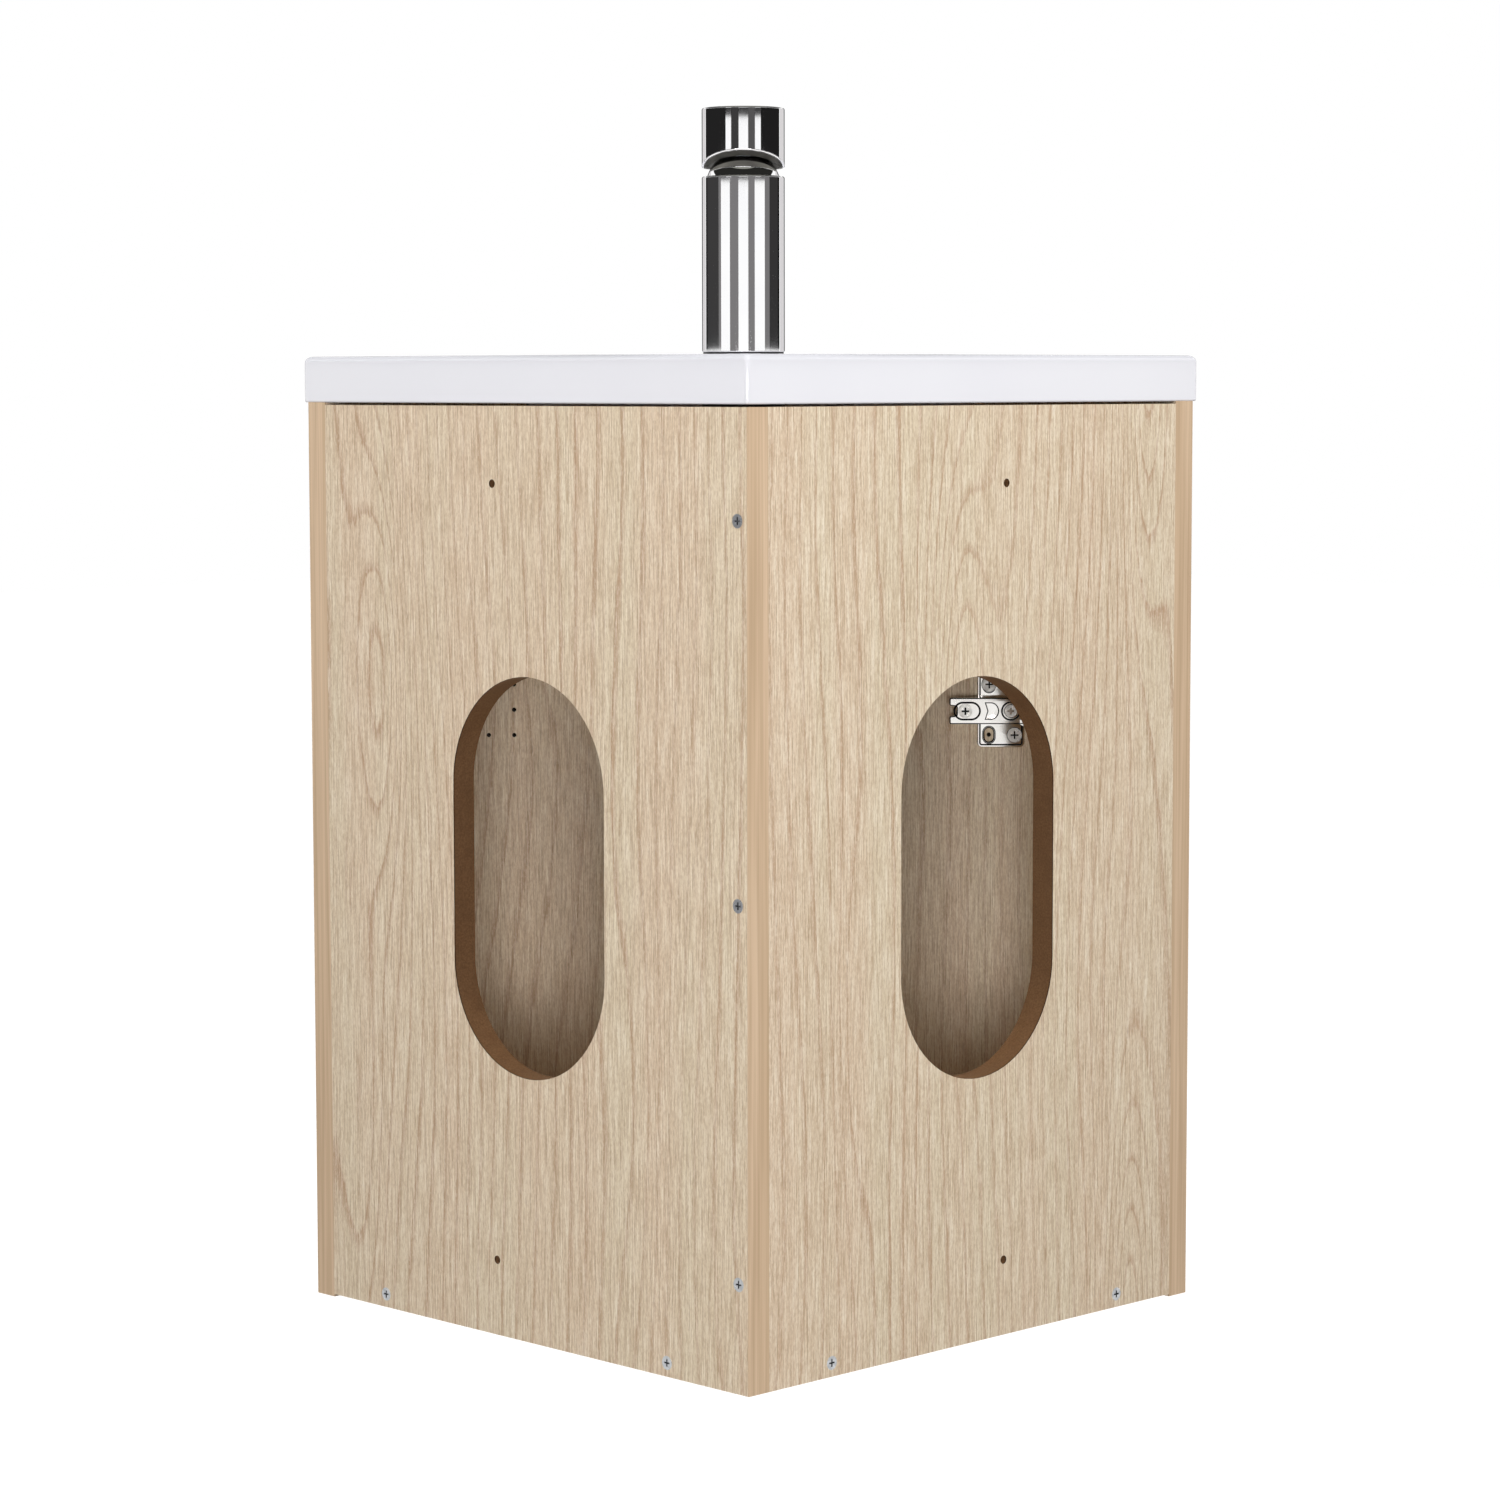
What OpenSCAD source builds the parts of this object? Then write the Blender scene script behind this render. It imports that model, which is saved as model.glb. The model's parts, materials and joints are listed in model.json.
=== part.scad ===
// Corner hand basin unit: a wall-hung pentagon cabinet with one diagonal door, a corner basin and a
// mixer tap. The origin is the corner of the two walls at the lower edge of the back panels. X and Y
// run along the walls, Z is up. The two outer back faces lie in the planes x = 0 and y = 0.

/* [Cabinet] */
// Length of the cabinet along each wall
wall_len = 380; // [340:5:440]
// Thickness of every board
board_t = 16; // [15:1:19]
// Height of the two back panels
back_h = 547; // [500:5:640]
// Length of each side panel, out from the wall
side_len = 100; // [90:2:120]
// How far the side panels hang below the back panels
side_drop = 1.5; // [0:0.5:4]
// Shadow gap between the back panels and the basin
shadow_gap = 1.5; // [1:0.5:4]
// Thickness of the edge banding
band_t = 0.8; // [0.6:0.2:1.2]
// Height of the rail under the front of the basin
rail_h = 48; // [40:2:56]

/* [Service cut-outs] */
// Width of each pill-shaped cut-out
cut_w = 131; // [90:1:140]
// Height of each cut-out
cut_h = 235; // [180:5:260]
// Height of the cut-outs' centre
cut_z = 273.5; // [250:0.5:300]
// Distance from the corner to the left cut-out's centre
cut_left = 182; // [175:1:195]
// Distance from the corner to the right cut-out's centre
cut_right = 188; // [180:1:200]

/* [Wall fixings] */
// Diameter of a wall-fixing hole
fix_d = 5; // [4:0.5:8]
// Distance from the corner to the holes
fix_out = 211; // [190:1:240]
// Height of the lower hole
fix_low = 45; // [30:1:60]
// Distance from the lower to the upper hole
fix_rise = 457; // [420:1:470]

/* [Board screws] */
// Diameter of the screw heads
screw_head_d = 8; // [7:0.5:9]
// Diameter of the screw shanks
screw_d = 4; // [3:0.5:5]
// Length of the screws
screw_len = 48; // [36:2:60]
// Height of the lowest corner screw
corner_low = 62; // [40:1:90]
// Distance between the corner screws
corner_pitch = 211.5; // [180:0.5:225]
// Distance from the corner to the nearer bottom screw
floor_near = 66; // [60:1:90]
// Distance from the corner to the farther bottom screw
floor_far = 314; // [290:1:320]

/* [Board joints] */
// Diameter of the dowels
dowel_d = 8; // [6:1:8]
// Length of the dowels
dowel_len = 28; // [24:1:30]
// Diameter of the cam locks
cam_d = 15; // [14:1:16]
// Depth of the cam locks
cam_t = 12.5; // [11:0.5:13]
// Distance from a board's end to the cam lock's centre
cam_back = 34; // [24:1:36]
// Height of the lower cam lock
cam_low = 150; // [120:5:180]
// Distance between the cam locks
cam_rise = 260; // [220:5:280]

/* [Door] */
// Gap between the side panels' front corner and the door
door_gap = 2; // [2:0.5:4]
// Half the width of the door
door_half = 192; // [189:0.5:193]
// Gap between the door and the basin
door_top_gap = 3.5; // [2:0.5:6]
// Diameter of the door buffers
buffer_d = 9; // [8:1:12]
// Distance from the door's middle to the nearer buffer
buffer_near = 60; // [50:1:80]
// Distance from the door's middle to the farther buffer
buffer_far = 150; // [130:1:155]

/* [Door handle] */
// Distance between the handle's posts
handle_len = 128; // [96:32:160]
// Diameter of the handle's bar
handle_d = 10; // [8:1:14]
// Length of the bar beyond each post
handle_end = 20; // [12:1:24]
// Height of the handle's lower post
handle_low = 400; // [394:2:406]
// Distance from the door's edge to the handle
handle_in = 30; // [24:1:50]
// Distance from the door to the bar's axis
handle_off = 30; // [25:1:40]

/* [Hinges] */
// Height of the lower hinge
hinge_low = 92; // [80:1:120]
// Height of the upper hinge
hinge_high = 355; // [300:1:370]
// Diameter of the hinge cups
cup_d = 35; // [35:1:35]
// Depth of the hinge cups
cup_depth = 11.5; // [11:0.5:12]
// Wood left between the cup and the side panel's end
cup_edge = 4.5; // [4:0.5:5]
// Diameter of the hinge pins
pin_d = 3; // [2.6:0.2:3.2]
// Thickness of the hinge links
link_t = 3.4; // [2.8:0.2:3.6]
// Distance between the plate's screw rows
plate_pitch = 32; // [32:1:32]
// Distance from the plate's screw hole to its slot
plate_cols = 16; // [14:1:18]
// Width of the hinge arms
arm_w = 16.5; // [16:0.5:18]

/* [Basin] */
// Overhang of the basin past the side panels
basin_over = 5; // [2:1:10]
// Thickness of the basin's slab
slab_t = 27.5; // [22:0.5:36]
// Radius of the slab's vertical corners
slab_corner_r = 3; // [2:0.5:6]
// Radius of the slab's top edge
slab_edge_r = 3.6; // [2:0.2:5]
// How far the slab's straight sides run past the side panels
basin_lip = 24; // [18:1:30]
// Bulge of the slab's curved front
front_bulge = 30; // [24:1:40]
// Depth of the bowl below the slab's top
bowl_depth = 94; // [80:2:110]
// Thickness of the bowl's wall
bowl_wall = 6; // [5:0.5:7]
// Distance from the corner to the waste
waste_at = 205; // [200:1:212]
// Distance from the corner to the bowl's rear edge
bowl_back = 98; // [96:1:104]
// Radius of the bowl's rear
bowl_corner_r = 55; // [45:1:60]
// Radius of the bowl's front at the lip
bowl_front_r = 136; // [120:1:140]
// Width of the rim in front of the bowl
bowl_rim = 47; // [40:1:54]

/* [Waste and trap] */
// Diameter of the waste hole
waste_hole_d = 45; // [44:0.5:46]
// Diameter of the waste flange
waste_flange_d = 62; // [58:1:70]
// Outer diameter of the drain pipes
drain_d = 32; // [32:1:32]
// Wall of the drain pipes
drain_wall = 2; // [1.5:0.1:2.4]
// Outer diameter of the trap
trap_d = 58; // [54:1:64]
// Length of the waste below the basin
waste_tail = 44; // [38:1:50]
// Height from the trap's outlet to the end of the waste
trap_drop = 43; // [38:1:50]
// Distance from the corner to the end of the outlet pipe
outlet_end = 75; // [65:1:90]

/* [Tap] */
// Distance from the corner to the tap's axis
tap_at = 62; // [58:0.5:64]
// Sideways play of the tap in its hole
tap_side = 2.5; // [0:0.5:3]
// Diameter of the tap's body and head
tap_d = 46; // [42:1:48]
// Diameter of the tap hole
tap_hole_d = 35; // [33:1:36]
// Height of the tap's body
tap_body_h = 97; // [85:1:110]
// Height of the tap's head
head_h = 33; // [28:1:38]
// Reach of the spout from the tap's axis
spout_reach = 112; // [100:1:125]
// Diameter of the inlets' ends
inlet_d = 12; // [10:0.5:12]
// Length of the inlets' ends
inlet_len = 18; // [14:1:22]
// How far the inlets and the shank hang below the slab
shank_drop = 52; // [44:1:60]
// Length of the lever from the tap's axis
lever_reach = 100; // [80:1:110]

/* [Movement] */
// Lift of the tap's lever
lever_lift = 20; // [15:1:22]

/* [Hidden] */
$fn = 48;
root2 = sqrt(2);
// Room between a pin and the bore that turns on it
run_gap = 0.05;
// Room between pieces that only lie beside each other
fit_gap = 0.3;

// Cabinet places
inner_x = wall_len - board_t;
side_top = back_h + shadow_gap;
front_d = (wall_len + side_len) / root2;
side_corner_d = (inner_x + side_len) / root2;
door_d = front_d + door_gap;
door_bottom = -side_drop;
door_top = side_top - door_top_gap;
face_u = inner_x * root2 - door_d;
rail_d = side_corner_d - board_t;
sheet_h = 0.05;

// Hinge places, in plan, from the side panel's inner face and its front end
cup_r = cup_d / 2;
cup_y = side_len - cup_edge - cup_r;
pin_r = pin_d / 2;
eye_r = pin_r + 2;
cup_pivot = [inner_x + 2, side_len - 12.5];
link_elbow = [inner_x + 1, side_len - 28.5];
arm_pivot = [inner_x - 18, side_len - 20.5];
arm_elbow = [inner_x - 20, side_len + 1];
ear_in = 5.3;
ear_out = arm_w / 2;
ear_mid = (ear_in + ear_out) / 2;
link_half_h = 5;
hole_u = face_u - 7.9;
slot_u = hole_u - plate_cols;
fix_screw_u = slot_u - 15.5;
adjust_screw_u = hole_u - 3;
arm_end_u = slot_u - 25.4;
arm_front_u = face_u - 2;
plate_t = 2;
arm_rise = 14;
arm_sheet = 1.5;
rail_half_h = arm_w / 2 - arm_sheet - 0.05;
pilot_d = 2.7;
pilot_depth = 11;
hinge_zs = [hinge_low, hinge_high];

// Basin and waste places
slab_z = side_top;
top_z = slab_z + slab_t;
basin_len = wall_len + basin_over;
bowl_z = top_z - bowl_depth;
boss_t = 10;
bowl_step_z = slab_z + 7;
basin_side = side_len + basin_lip;
half_chord = (basin_len - basin_side) / root2;
chord_d = (basin_len + basin_side) / root2;
basin_front = chord_d + front_bulge;
front_r = (half_chord * half_chord + front_bulge * front_bulge) / (2 * front_bulge);
lip_side_u = 105;
lip_side_r = 42;
lip_front_d = basin_front - bowl_rim - bowl_front_r;
step_side_u = 88;
step_side_r = 38;
step_front_r = 97;
step_front_d = rail_d - bowl_wall - 3 - step_front_r;
waste_r = waste_hole_d / 2 - 0.5;
waste_end = bowl_z - boss_t - waste_tail;
drain_r = drain_d / 2;
push_r = drain_r - 0.5;
trap_r = trap_d / 2;
trap_out_z = waste_end - trap_drop;
trap_top = trap_out_z + 24;
trap_low = trap_out_z - 52;
cup_low = trap_low - 34;

// Tap places
tap_r = tap_d / 2;
gasket_t = 1;
body_z = top_z + gasket_t;
body_top = body_z + tap_body_h;
head_z = body_top + 4.5;
head_top = head_z + head_h;
dome_z = body_top - 6;
dome_r = tap_r - 0.5;
cart_r = 17.5;
cart_z = body_top - 34;
spout_z = body_z + 22;
lever_pivot_z = dome_z + 4;
stem_w = 8;
shank_r = 5;
shank_end = slab_z - shank_drop;

// Turns drawing to the diagonal: X runs from the corner to the front, Y towards the left wall
module diagonal() {
    rotate([0, 0, 45]) children();
}

module at_tap() {
    diagonal() translate([tap_at, tap_side, 0]) children();
}

// A rod of radius r along +X from the origin
module rod_x(r, len) {
    rotate([0, 90, 0]) cylinder(r = r, h = len);
}

// A rod of radius r along +Y from the origin
module rod_y(r, len) {
    rotate([-90, 0, 0]) cylinder(r = r, h = len);
}

// A tube along +Z
module tube(r_out, r_in, z0, z1) {
    translate([0, 0, z0]) difference() {
        cylinder(r = r_out, h = z1 - z0);
        translate([0, 0, -1]) cylinder(r = r_in, h = z1 - z0 + 2);
    }
}

// A pill outline with its long way along the second axis
module pill(w, h) {
    square([w, h - w], center = true);
    for (s = [-1, 1]) translate([0, s * (h - w) / 2]) circle(d = w, $fn = 96);
}

// The space that a countersunk screw fills, along +X from the face it enters
module screw_space(head_r, r, len) {
    rotate([0, 90, 0]) cylinder(r1 = head_r, r2 = r, h = head_r - r + 0.4);
    rod_x(r, len);
}

// A countersunk screw with a cross recess
module csk_screw(head_r, r, len) {
    difference() {
        screw_space(head_r, r, len);
        for (a = [0, 90]) rotate([a, 0, 0]) translate([-1, -head_r * 0.55, -0.5])
            cube([2.4, head_r * 1.1, 1]);
    }
}

// Places of the three corner screws on the left back panel
module at_corner_screws() {
    for (i = [0 : 2]) translate([0, board_t / 2, corner_low + i * corner_pitch]) children();
}

// Places of the bottom screws, which enter each back panel from its wall face
module at_bottom_screws() {
    for (p = [floor_near, floor_far]) {
        translate([0, p, board_t / 2]) children();
        mirror([1, -1, 0]) translate([0, p, board_t / 2]) children();
    }
}

// Places of the joints between a back panel's end and the side panel there
module at_side_joints(heights) {
    for (z = heights) {
        translate([inner_x, board_t / 2, z]) children();
        mirror([1, -1, 0]) translate([inner_x, board_t / 2, z]) children();
    }
}

dowel_zs = [cam_low - 70, cam_low + cam_rise + 70];
cam_zs = [cam_low, cam_low + cam_rise];
cam_grip = 3;

module dowel_set() {
    at_side_joints(dowel_zs) translate([-dowel_len / 2 - 3, 0, 0]) rod_x(dowel_d / 2, dowel_len);
    for (m = [0, 1]) mirror([m, -m, 0])
        translate([inner_x - dowel_len / 2 - 3, side_len * 0.6, board_t / 2]) rod_x(dowel_d / 2, dowel_len);
}

// The bolt's neck reaches into the cam lock's socket
module cam_bolt_set() {
    neck_len = cam_back - cam_d / 2 + cam_grip;
    at_side_joints(cam_zs) {
        translate([-neck_len, 0, 0]) rod_x(3.5, neck_len);
        translate([-1, 0, 0]) rod_x(2.5, 12);
    }
}

module cam_lock_set() {
    at_side_joints(cam_zs) translate([-cam_back, board_t / 2 - cam_t, 0]) rod_y(cam_d / 2, cam_t);
}

// Wall-fixing holes along X through the left back panel
module wall_fixing_holes() {
    for (z = [fix_low, fix_low + fix_rise]) translate([-1, fix_out, z]) rod_x(fix_d / 2, board_t + 2);
}

// One back panel on the plane x = 0, from y0 to the side panel, with its cut-out
module back_board(y0, cut_y) {
    difference() {
        translate([0, y0, 0]) cube([board_t, inner_x - y0, back_h]);
        translate([board_t / 2, cut_y, cut_z]) rotate([90, 0, 90])
            linear_extrude(height = board_t + 2, center = true) pill(cut_w, cut_h);
        wall_fixing_holes();
    }
}

module joint_holes() {
    dowel_set();
    cam_bolt_set();
    cam_lock_set();
}

module back_panel_left() {
    color([0.84, 0.76, 0.64]) difference() {
        back_board(band_t, cut_left);
        at_corner_screws() screw_space(screw_head_d / 2, screw_d / 2, screw_len);
        at_bottom_screws() screw_space(screw_head_d / 2, screw_d / 2, screw_len);
        joint_holes();
    }
}

module back_panel_right() {
    color([0.84, 0.76, 0.64]) difference() {
        mirror([1, -1, 0]) back_board(board_t, cut_right);
        at_corner_screws() screw_space(screw_head_d / 2, screw_d / 2, screw_len);
        at_bottom_screws() screw_space(screw_head_d / 2, screw_d / 2, screw_len);
        joint_holes();
    }
}

// The side panel on the right, in the plane x = wall_len
module side_board() {
    difference() {
        translate([inner_x, band_t, door_bottom])
            cube([board_t, side_len - 2 * band_t, side_top - door_bottom]);
        joint_holes();
    }
}

module side_panel_right() {
    color([0.84, 0.76, 0.64]) difference() {
        side_board();
        for (z = hinge_zs) translate([inner_x - 1, cup_y, z]) rod_x(cup_r + 0.1, cup_depth + 1.5);
        cup_screw_set(0);
    }
}

module side_panel_left() {
    color([0.84, 0.76, 0.64]) mirror([1, -1, 0]) side_board();
}

module bottom_panel() {
    color([0.82, 0.73, 0.6]) difference() {
        linear_extrude(height = board_t) intersection() {
            translate([board_t, board_t]) square(inner_x - board_t);
            rotate(45) translate([0, -wall_len]) square([front_d - band_t, 2 * wall_len]);
        }
        at_bottom_screws() screw_space(screw_head_d / 2, screw_d / 2, screw_len);
        dowel_set();
    }
}

// The rail stands behind the door, with mitred ends against the side panels
module front_rail() {
    color([0.82, 0.73, 0.6]) translate([0, 0, side_top - rail_h])
        linear_extrude(height = rail_h) intersection() {
            square(inner_x);
            rotate(45) translate([rail_d, -wall_len]) square([board_t, 2 * wall_len]);
        }
}

// Bands on the edges that show: the corner, the side panels' two upright edges and the bottom panel's front
module edge_bands() {
    color([0.8, 0.69, 0.56]) {
        cube([board_t, band_t, back_h]);
        for (m = [0, 1]) mirror([m, -m, 0]) for (y = [0, side_len - band_t])
            translate([inner_x, y, door_bottom]) cube([board_t, band_t, side_top - door_bottom]);
        linear_extrude(height = board_t) intersection() {
            translate([board_t, board_t]) square(inner_x - board_t);
            rotate(45) translate([front_d - band_t, -wall_len]) square([band_t, 2 * wall_len]);
        }
    }
}

module corner_screws() {
    color([0.75, 0.76, 0.78]) at_corner_screws() csk_screw(screw_head_d / 2, screw_d / 2, screw_len);
}

module bottom_screws() {
    color([0.75, 0.76, 0.78]) at_bottom_screws() csk_screw(screw_head_d / 2, screw_d / 2, screw_len);
}

module dowels() {
    color([0.87, 0.75, 0.55]) dowel_set();
}

module cam_bolts() {
    color([0.7, 0.7, 0.72]) cam_bolt_set();
}

module cam_locks() {
    color([0.6, 0.61, 0.63]) difference() {
        cam_lock_set();
        cam_bolt_set();
        at_side_joints(cam_zs) translate([-cam_back - 0.6, board_t / 2 - 1.5, -cam_d * 0.35])
            cube([1.2, 2, cam_d * 0.7]);
    }
}

// Pilot holes for the plates on both sides of the door, so that it can hang either way
module pilot_holes() {
    for (z = hinge_zs) for (row = [-1 : 1]) for (s = [-1, 1]) for (u = [slot_u, hole_u])
        translate([door_d - 0.5, s * u, z + row * plate_pitch / 2]) rod_x(pilot_d / 2, pilot_depth + 0.5);
}

module handle_screw_set() {
    for (z = [handle_low, handle_low + handle_len]) translate([door_d, door_half - handle_in, z]) children();
}

module door_panel() {
    color([0.84, 0.76, 0.64]) diagonal() difference() {
        translate([door_d, -door_half, door_bottom]) cube([board_t, 2 * door_half, door_top - door_bottom]);
        pilot_holes();
        plate_screw_set();
        handle_screw_set() rod_x(2, board_t + 1);
    }
}

module door_buffers() {
    color([0.8, 0.8, 0.8]) diagonal() for (y = [buffer_near, buffer_far])
        translate([front_d + fit_gap, y, board_t / 2]) rod_x(buffer_d / 2, door_gap - fit_gap);
}

module door_handle() {
    bar_x = door_d + board_t + handle_off;
    color([0.8, 0.81, 0.83]) diagonal() difference() {
        union() {
            translate([bar_x, door_half - handle_in, handle_low - handle_end])
                cylinder(d = handle_d, h = handle_len + 2 * handle_end);
            handle_screw_set() translate([board_t, 0, 0]) rod_x(4, handle_off);
        }
        handle_screw_set() rod_x(2, board_t + 16);
    }
}

module handle_screws() {
    color([0.75, 0.76, 0.78]) diagonal() handle_screw_set() difference() {
        union() {
            rod_x(2, board_t + 16);
            translate([-2.4, 0, 0]) rod_x(4, 2.4);
        }
        for (a = [0, 90]) rotate([a, 0, 0]) translate([-3, -2.6, -0.5]) cube([1.6, 5.2, 1]);
    }
}

// Screws of the hinge cups; a positive recess cuts the crosses
module cup_screw_set(recess) {
    for (z = hinge_zs) for (s = [-1, 1]) translate([inner_x - 1.2, cup_y - 9.5, z + s * 22.5])
        if (recess > 0) csk_screw(3.4, 1.75, 13);
        else screw_space(3.4, 1.75, 13);
}

// Cup with its flange on the side panel's face, and two ears that hold the pin
module hinge_cup(z) {
    ear_t = ear_out - ear_in;
    color([0.62, 0.62, 0.64]) difference() {
        union() {
            translate([inner_x, cup_y, z]) rod_x(cup_r, cup_depth);
            translate([inner_x - 1.2, cup_y, z]) rod_x(cup_r + 1.5, 1.2);
            for (s = [-1, 1]) translate([inner_x - 1.2, cup_y - 9.5, z + s * 22.5]) rod_x(5.5, 1.2);
            translate([inner_x - 1.2, cup_y - 15, z - 22.5]) cube([1.2, 11, 45]);
        }
        difference() {
            translate([inner_x - 2, cup_y, z]) rod_x(cup_r - 1.2, cup_depth + 1);
            for (s = [-1, 1]) translate([-eye_r, -eye_r, s * ear_mid - ear_t / 2])
                translate([cup_pivot[0], cup_pivot[1], z]) cube([cup_depth + 5, cup_r, ear_t]);
        }
        translate([cup_pivot[0], cup_pivot[1], z - 15]) cylinder(r = pin_r, h = 30);
        cup_screw_set(0);
    }
}

module upper_hinge_cup() { hinge_cup(hinge_high); }
module lower_hinge_cup() { hinge_cup(hinge_low); }

module cup_screws() {
    color([0.75, 0.76, 0.78]) cup_screw_set(1);
}

module pin_pair(at) {
    for (z = hinge_zs) translate([at[0], at[1], z - ear_out]) cylinder(r = pin_r, h = 2 * ear_out);
}

module cup_pins() {
    color([0.7, 0.7, 0.72]) pin_pair(cup_pivot);
}

module arm_pins() {
    color([0.7, 0.7, 0.72]) pin_pair(arm_pivot);
}

// A straight bar in plan from p to q, w wide
module plan_bar(p, q, w) {
    run = q - p;
    translate(p) rotate(atan2(run[1], run[0])) translate([0, -w / 2]) square([norm(run), w]);
}

// Cranked link that leaves the cup and passes round the end of the side panel
module hinge_link(z) {
    color([0.62, 0.62, 0.64]) translate([0, 0, z - link_half_h]) linear_extrude(height = 2 * link_half_h)
        difference() {
            union() {
                plan_bar(cup_pivot, link_elbow, link_t);
                plan_bar(link_elbow, arm_pivot, link_t);
                translate(link_elbow) circle(r = link_t / 2 + 0.4);
                for (p = [cup_pivot, arm_pivot]) translate(p) circle(r = eye_r);
            }
            for (p = [cup_pivot, arm_pivot]) translate(p) circle(r = pin_r + run_gap);
        }
}

module upper_hinge_link() { hinge_link(hinge_high); }
module lower_hinge_link() { hinge_link(hinge_low); }

// Plan point of a place given by its distance from the corner and its offset towards the right
function plan(d, u) = [(d + u) / root2, (d - u) / root2];

// Arm: a channel over the plate's rail, and two ears that reach to the pin
module hinge_arm(z) {
    top_d = door_d - arm_rise;
    color([0.62, 0.62, 0.64]) {
        diagonal() difference() {
            translate([top_d, -arm_front_u, z - arm_w / 2])
                cube([arm_rise - 4, arm_front_u - arm_end_u, arm_w]);
            translate([top_d + arm_sheet, -arm_front_u - 1, z - arm_w / 2 + arm_sheet])
                cube([arm_rise, arm_front_u - arm_end_u + 2, arm_w - 2 * arm_sheet]);
            translate([top_d - 1, -arm_end_u - 6, z - 2.9]) cube([arm_rise, 7, 5.8]);
            translate([top_d - 1, -fix_screw_u, z]) rod_x(2.6, 4);
            translate([top_d - 1, -adjust_screw_u, z]) rod_x(3.9, 4);
            translate([top_d - 1, -slot_u, z]) rod_x(4.2, 4);
        }
        for (s = [-1, 1]) translate([0, 0, z + s * ear_mid - (ear_out - ear_in) / 2])
            linear_extrude(height = ear_out - ear_in) difference() {
                union() {
                    plan_bar(plan(top_d + 3, arm_front_u - 1), arm_elbow, 5);
                    plan_bar(arm_elbow, arm_pivot, 5);
                    translate(arm_elbow) circle(r = 3);
                    translate(arm_pivot) circle(r = eye_r + 0.5);
                }
                translate(arm_pivot) circle(r = pin_r);
            }
    }
}

module upper_hinge_arm() { hinge_arm(hinge_high); }
module lower_hinge_arm() { hinge_arm(hinge_low); }

module plate_outline() {
    half_h = plate_pitch / 2 + 8;
    difference() {
        translate([-hole_u - 6.5, -half_h]) square([plate_cols + 14, 2 * half_h]);
        for (s = [-1, 1]) translate([-slot_u, s * plate_pitch / 2]) pill(5.4, 8.6);
    }
}

// Mounting plate on the door's inner face: two wings and a raised rail for the arm
module hinge_plate(z) {
    rail_len = hole_u - fix_screw_u + 9.5;
    color([0.62, 0.62, 0.64]) diagonal() difference() {
        union() {
            translate([door_d, 0, z]) rotate([90, 0, 90]) mirror([0, 0, 1])
                linear_extrude(height = plate_t) plate_outline();
            translate([door_d - arm_rise + arm_sheet, -hole_u - 1.5, z - rail_half_h])
                cube([arm_rise - arm_sheet, rail_len, 2 * rail_half_h]);
        }
        plate_screw_set();
        translate([door_d - arm_rise, -fix_screw_u, z]) rod_x(2.6, arm_rise - 2);
        translate([door_d - arm_rise, -adjust_screw_u, z]) rod_x(3.9, arm_rise - 4);
    }
}

module upper_hinge_plate() { hinge_plate(hinge_high); }
module lower_hinge_plate() { hinge_plate(hinge_low); }

// Each plate is held in its lower hole and in its upper slot
module at_plate_screws() {
    for (z = hinge_zs) {
        translate([door_d - plate_t, -hole_u, z - plate_pitch / 2]) children();
        translate([door_d - plate_t, -slot_u, z + plate_pitch / 2]) children();
    }
}

module plate_screw_set() {
    at_plate_screws() rod_x(1.9, 13);
}

module plate_screws() {
    color([0.75, 0.76, 0.78]) diagonal() at_plate_screws() difference() {
        union() {
            rod_x(1.9, 13);
            translate([-2.2, 0, 0]) rod_x(4.6, 2.2);
        }
        for (a = [0, 90]) rotate([a, 0, 0]) translate([-3, -2.5, -0.5]) cube([2, 5, 1]);
    }
}

module arm_screw_set(u, head_r, r, head_h, deep) {
    diagonal() for (z = hinge_zs) translate([door_d - arm_rise, -u, z]) difference() {
        union() {
            translate([-head_h, 0, 0]) rod_x(head_r, head_h);
            rod_x(r, deep);
        }
        for (a = [0, 90]) rotate([a, 0, 0]) translate([-head_h - 1, -head_r * 0.55, -0.6])
            cube([2, head_r * 1.1, 1.2]);
    }
}

module arm_fixing_screws() {
    color([0.7, 0.7, 0.72]) arm_screw_set(fix_screw_u, 4.3, 2.6, 1.8, arm_rise - 2);
}

module arm_adjusting_screws() {
    color([0.7, 0.7, 0.72]) arm_screw_set(adjust_screw_u, 3.9, 3.9, 0.6, arm_rise - 4);
}

// Plan outline of the slab, drawn in by the given amount
module slab_outline(inset) {
    far = basin_len - inset;
    offset(r = slab_corner_r, $fn = 32) offset(delta = -slab_corner_r) intersection() {
        translate([inset, inset]) square(far - inset);
        rotate(45) translate([basin_front - front_r, 0]) circle(r = front_r - inset, $fn = 240);
    }
}

// One level of the bowl, grown by the wall: discs at the rear and the two sides
module bowl_level(z, rear_r, side_u, side_r, grow) {
    side_d = waste_at - 5;
    for (c = [[bowl_back + rear_r, 0, rear_r], [side_d, side_u, side_r], [side_d, -side_u, side_r]])
        translate([c[0], c[1], z]) cylinder(r = c[2] + grow, h = sheet_h, $fn = 48);
}

// The step under the lip, with its front disc just clear of the rail
module bowl_step(z, grow) {
    bowl_level(z, bowl_corner_r - 6, step_side_u, step_side_r, grow);
    translate([step_front_d, 0, z]) cylinder(r = step_front_r + grow, h = sheet_h, $fn = 48);
}

// The narrow part of the bowl, from the step under its lip down to the floor
module bowl_depths(step_z, grow) {
    hull() {
        bowl_step(step_z, grow);
        translate([waste_at, 0, bowl_z + 14 - grow]) cylinder(r = 74 + grow, h = sheet_h);
        translate([waste_at, 0, bowl_z - (grow > 0 ? boss_t : 0)]) cylinder(r = 46, h = sheet_h);
    }
}

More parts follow.
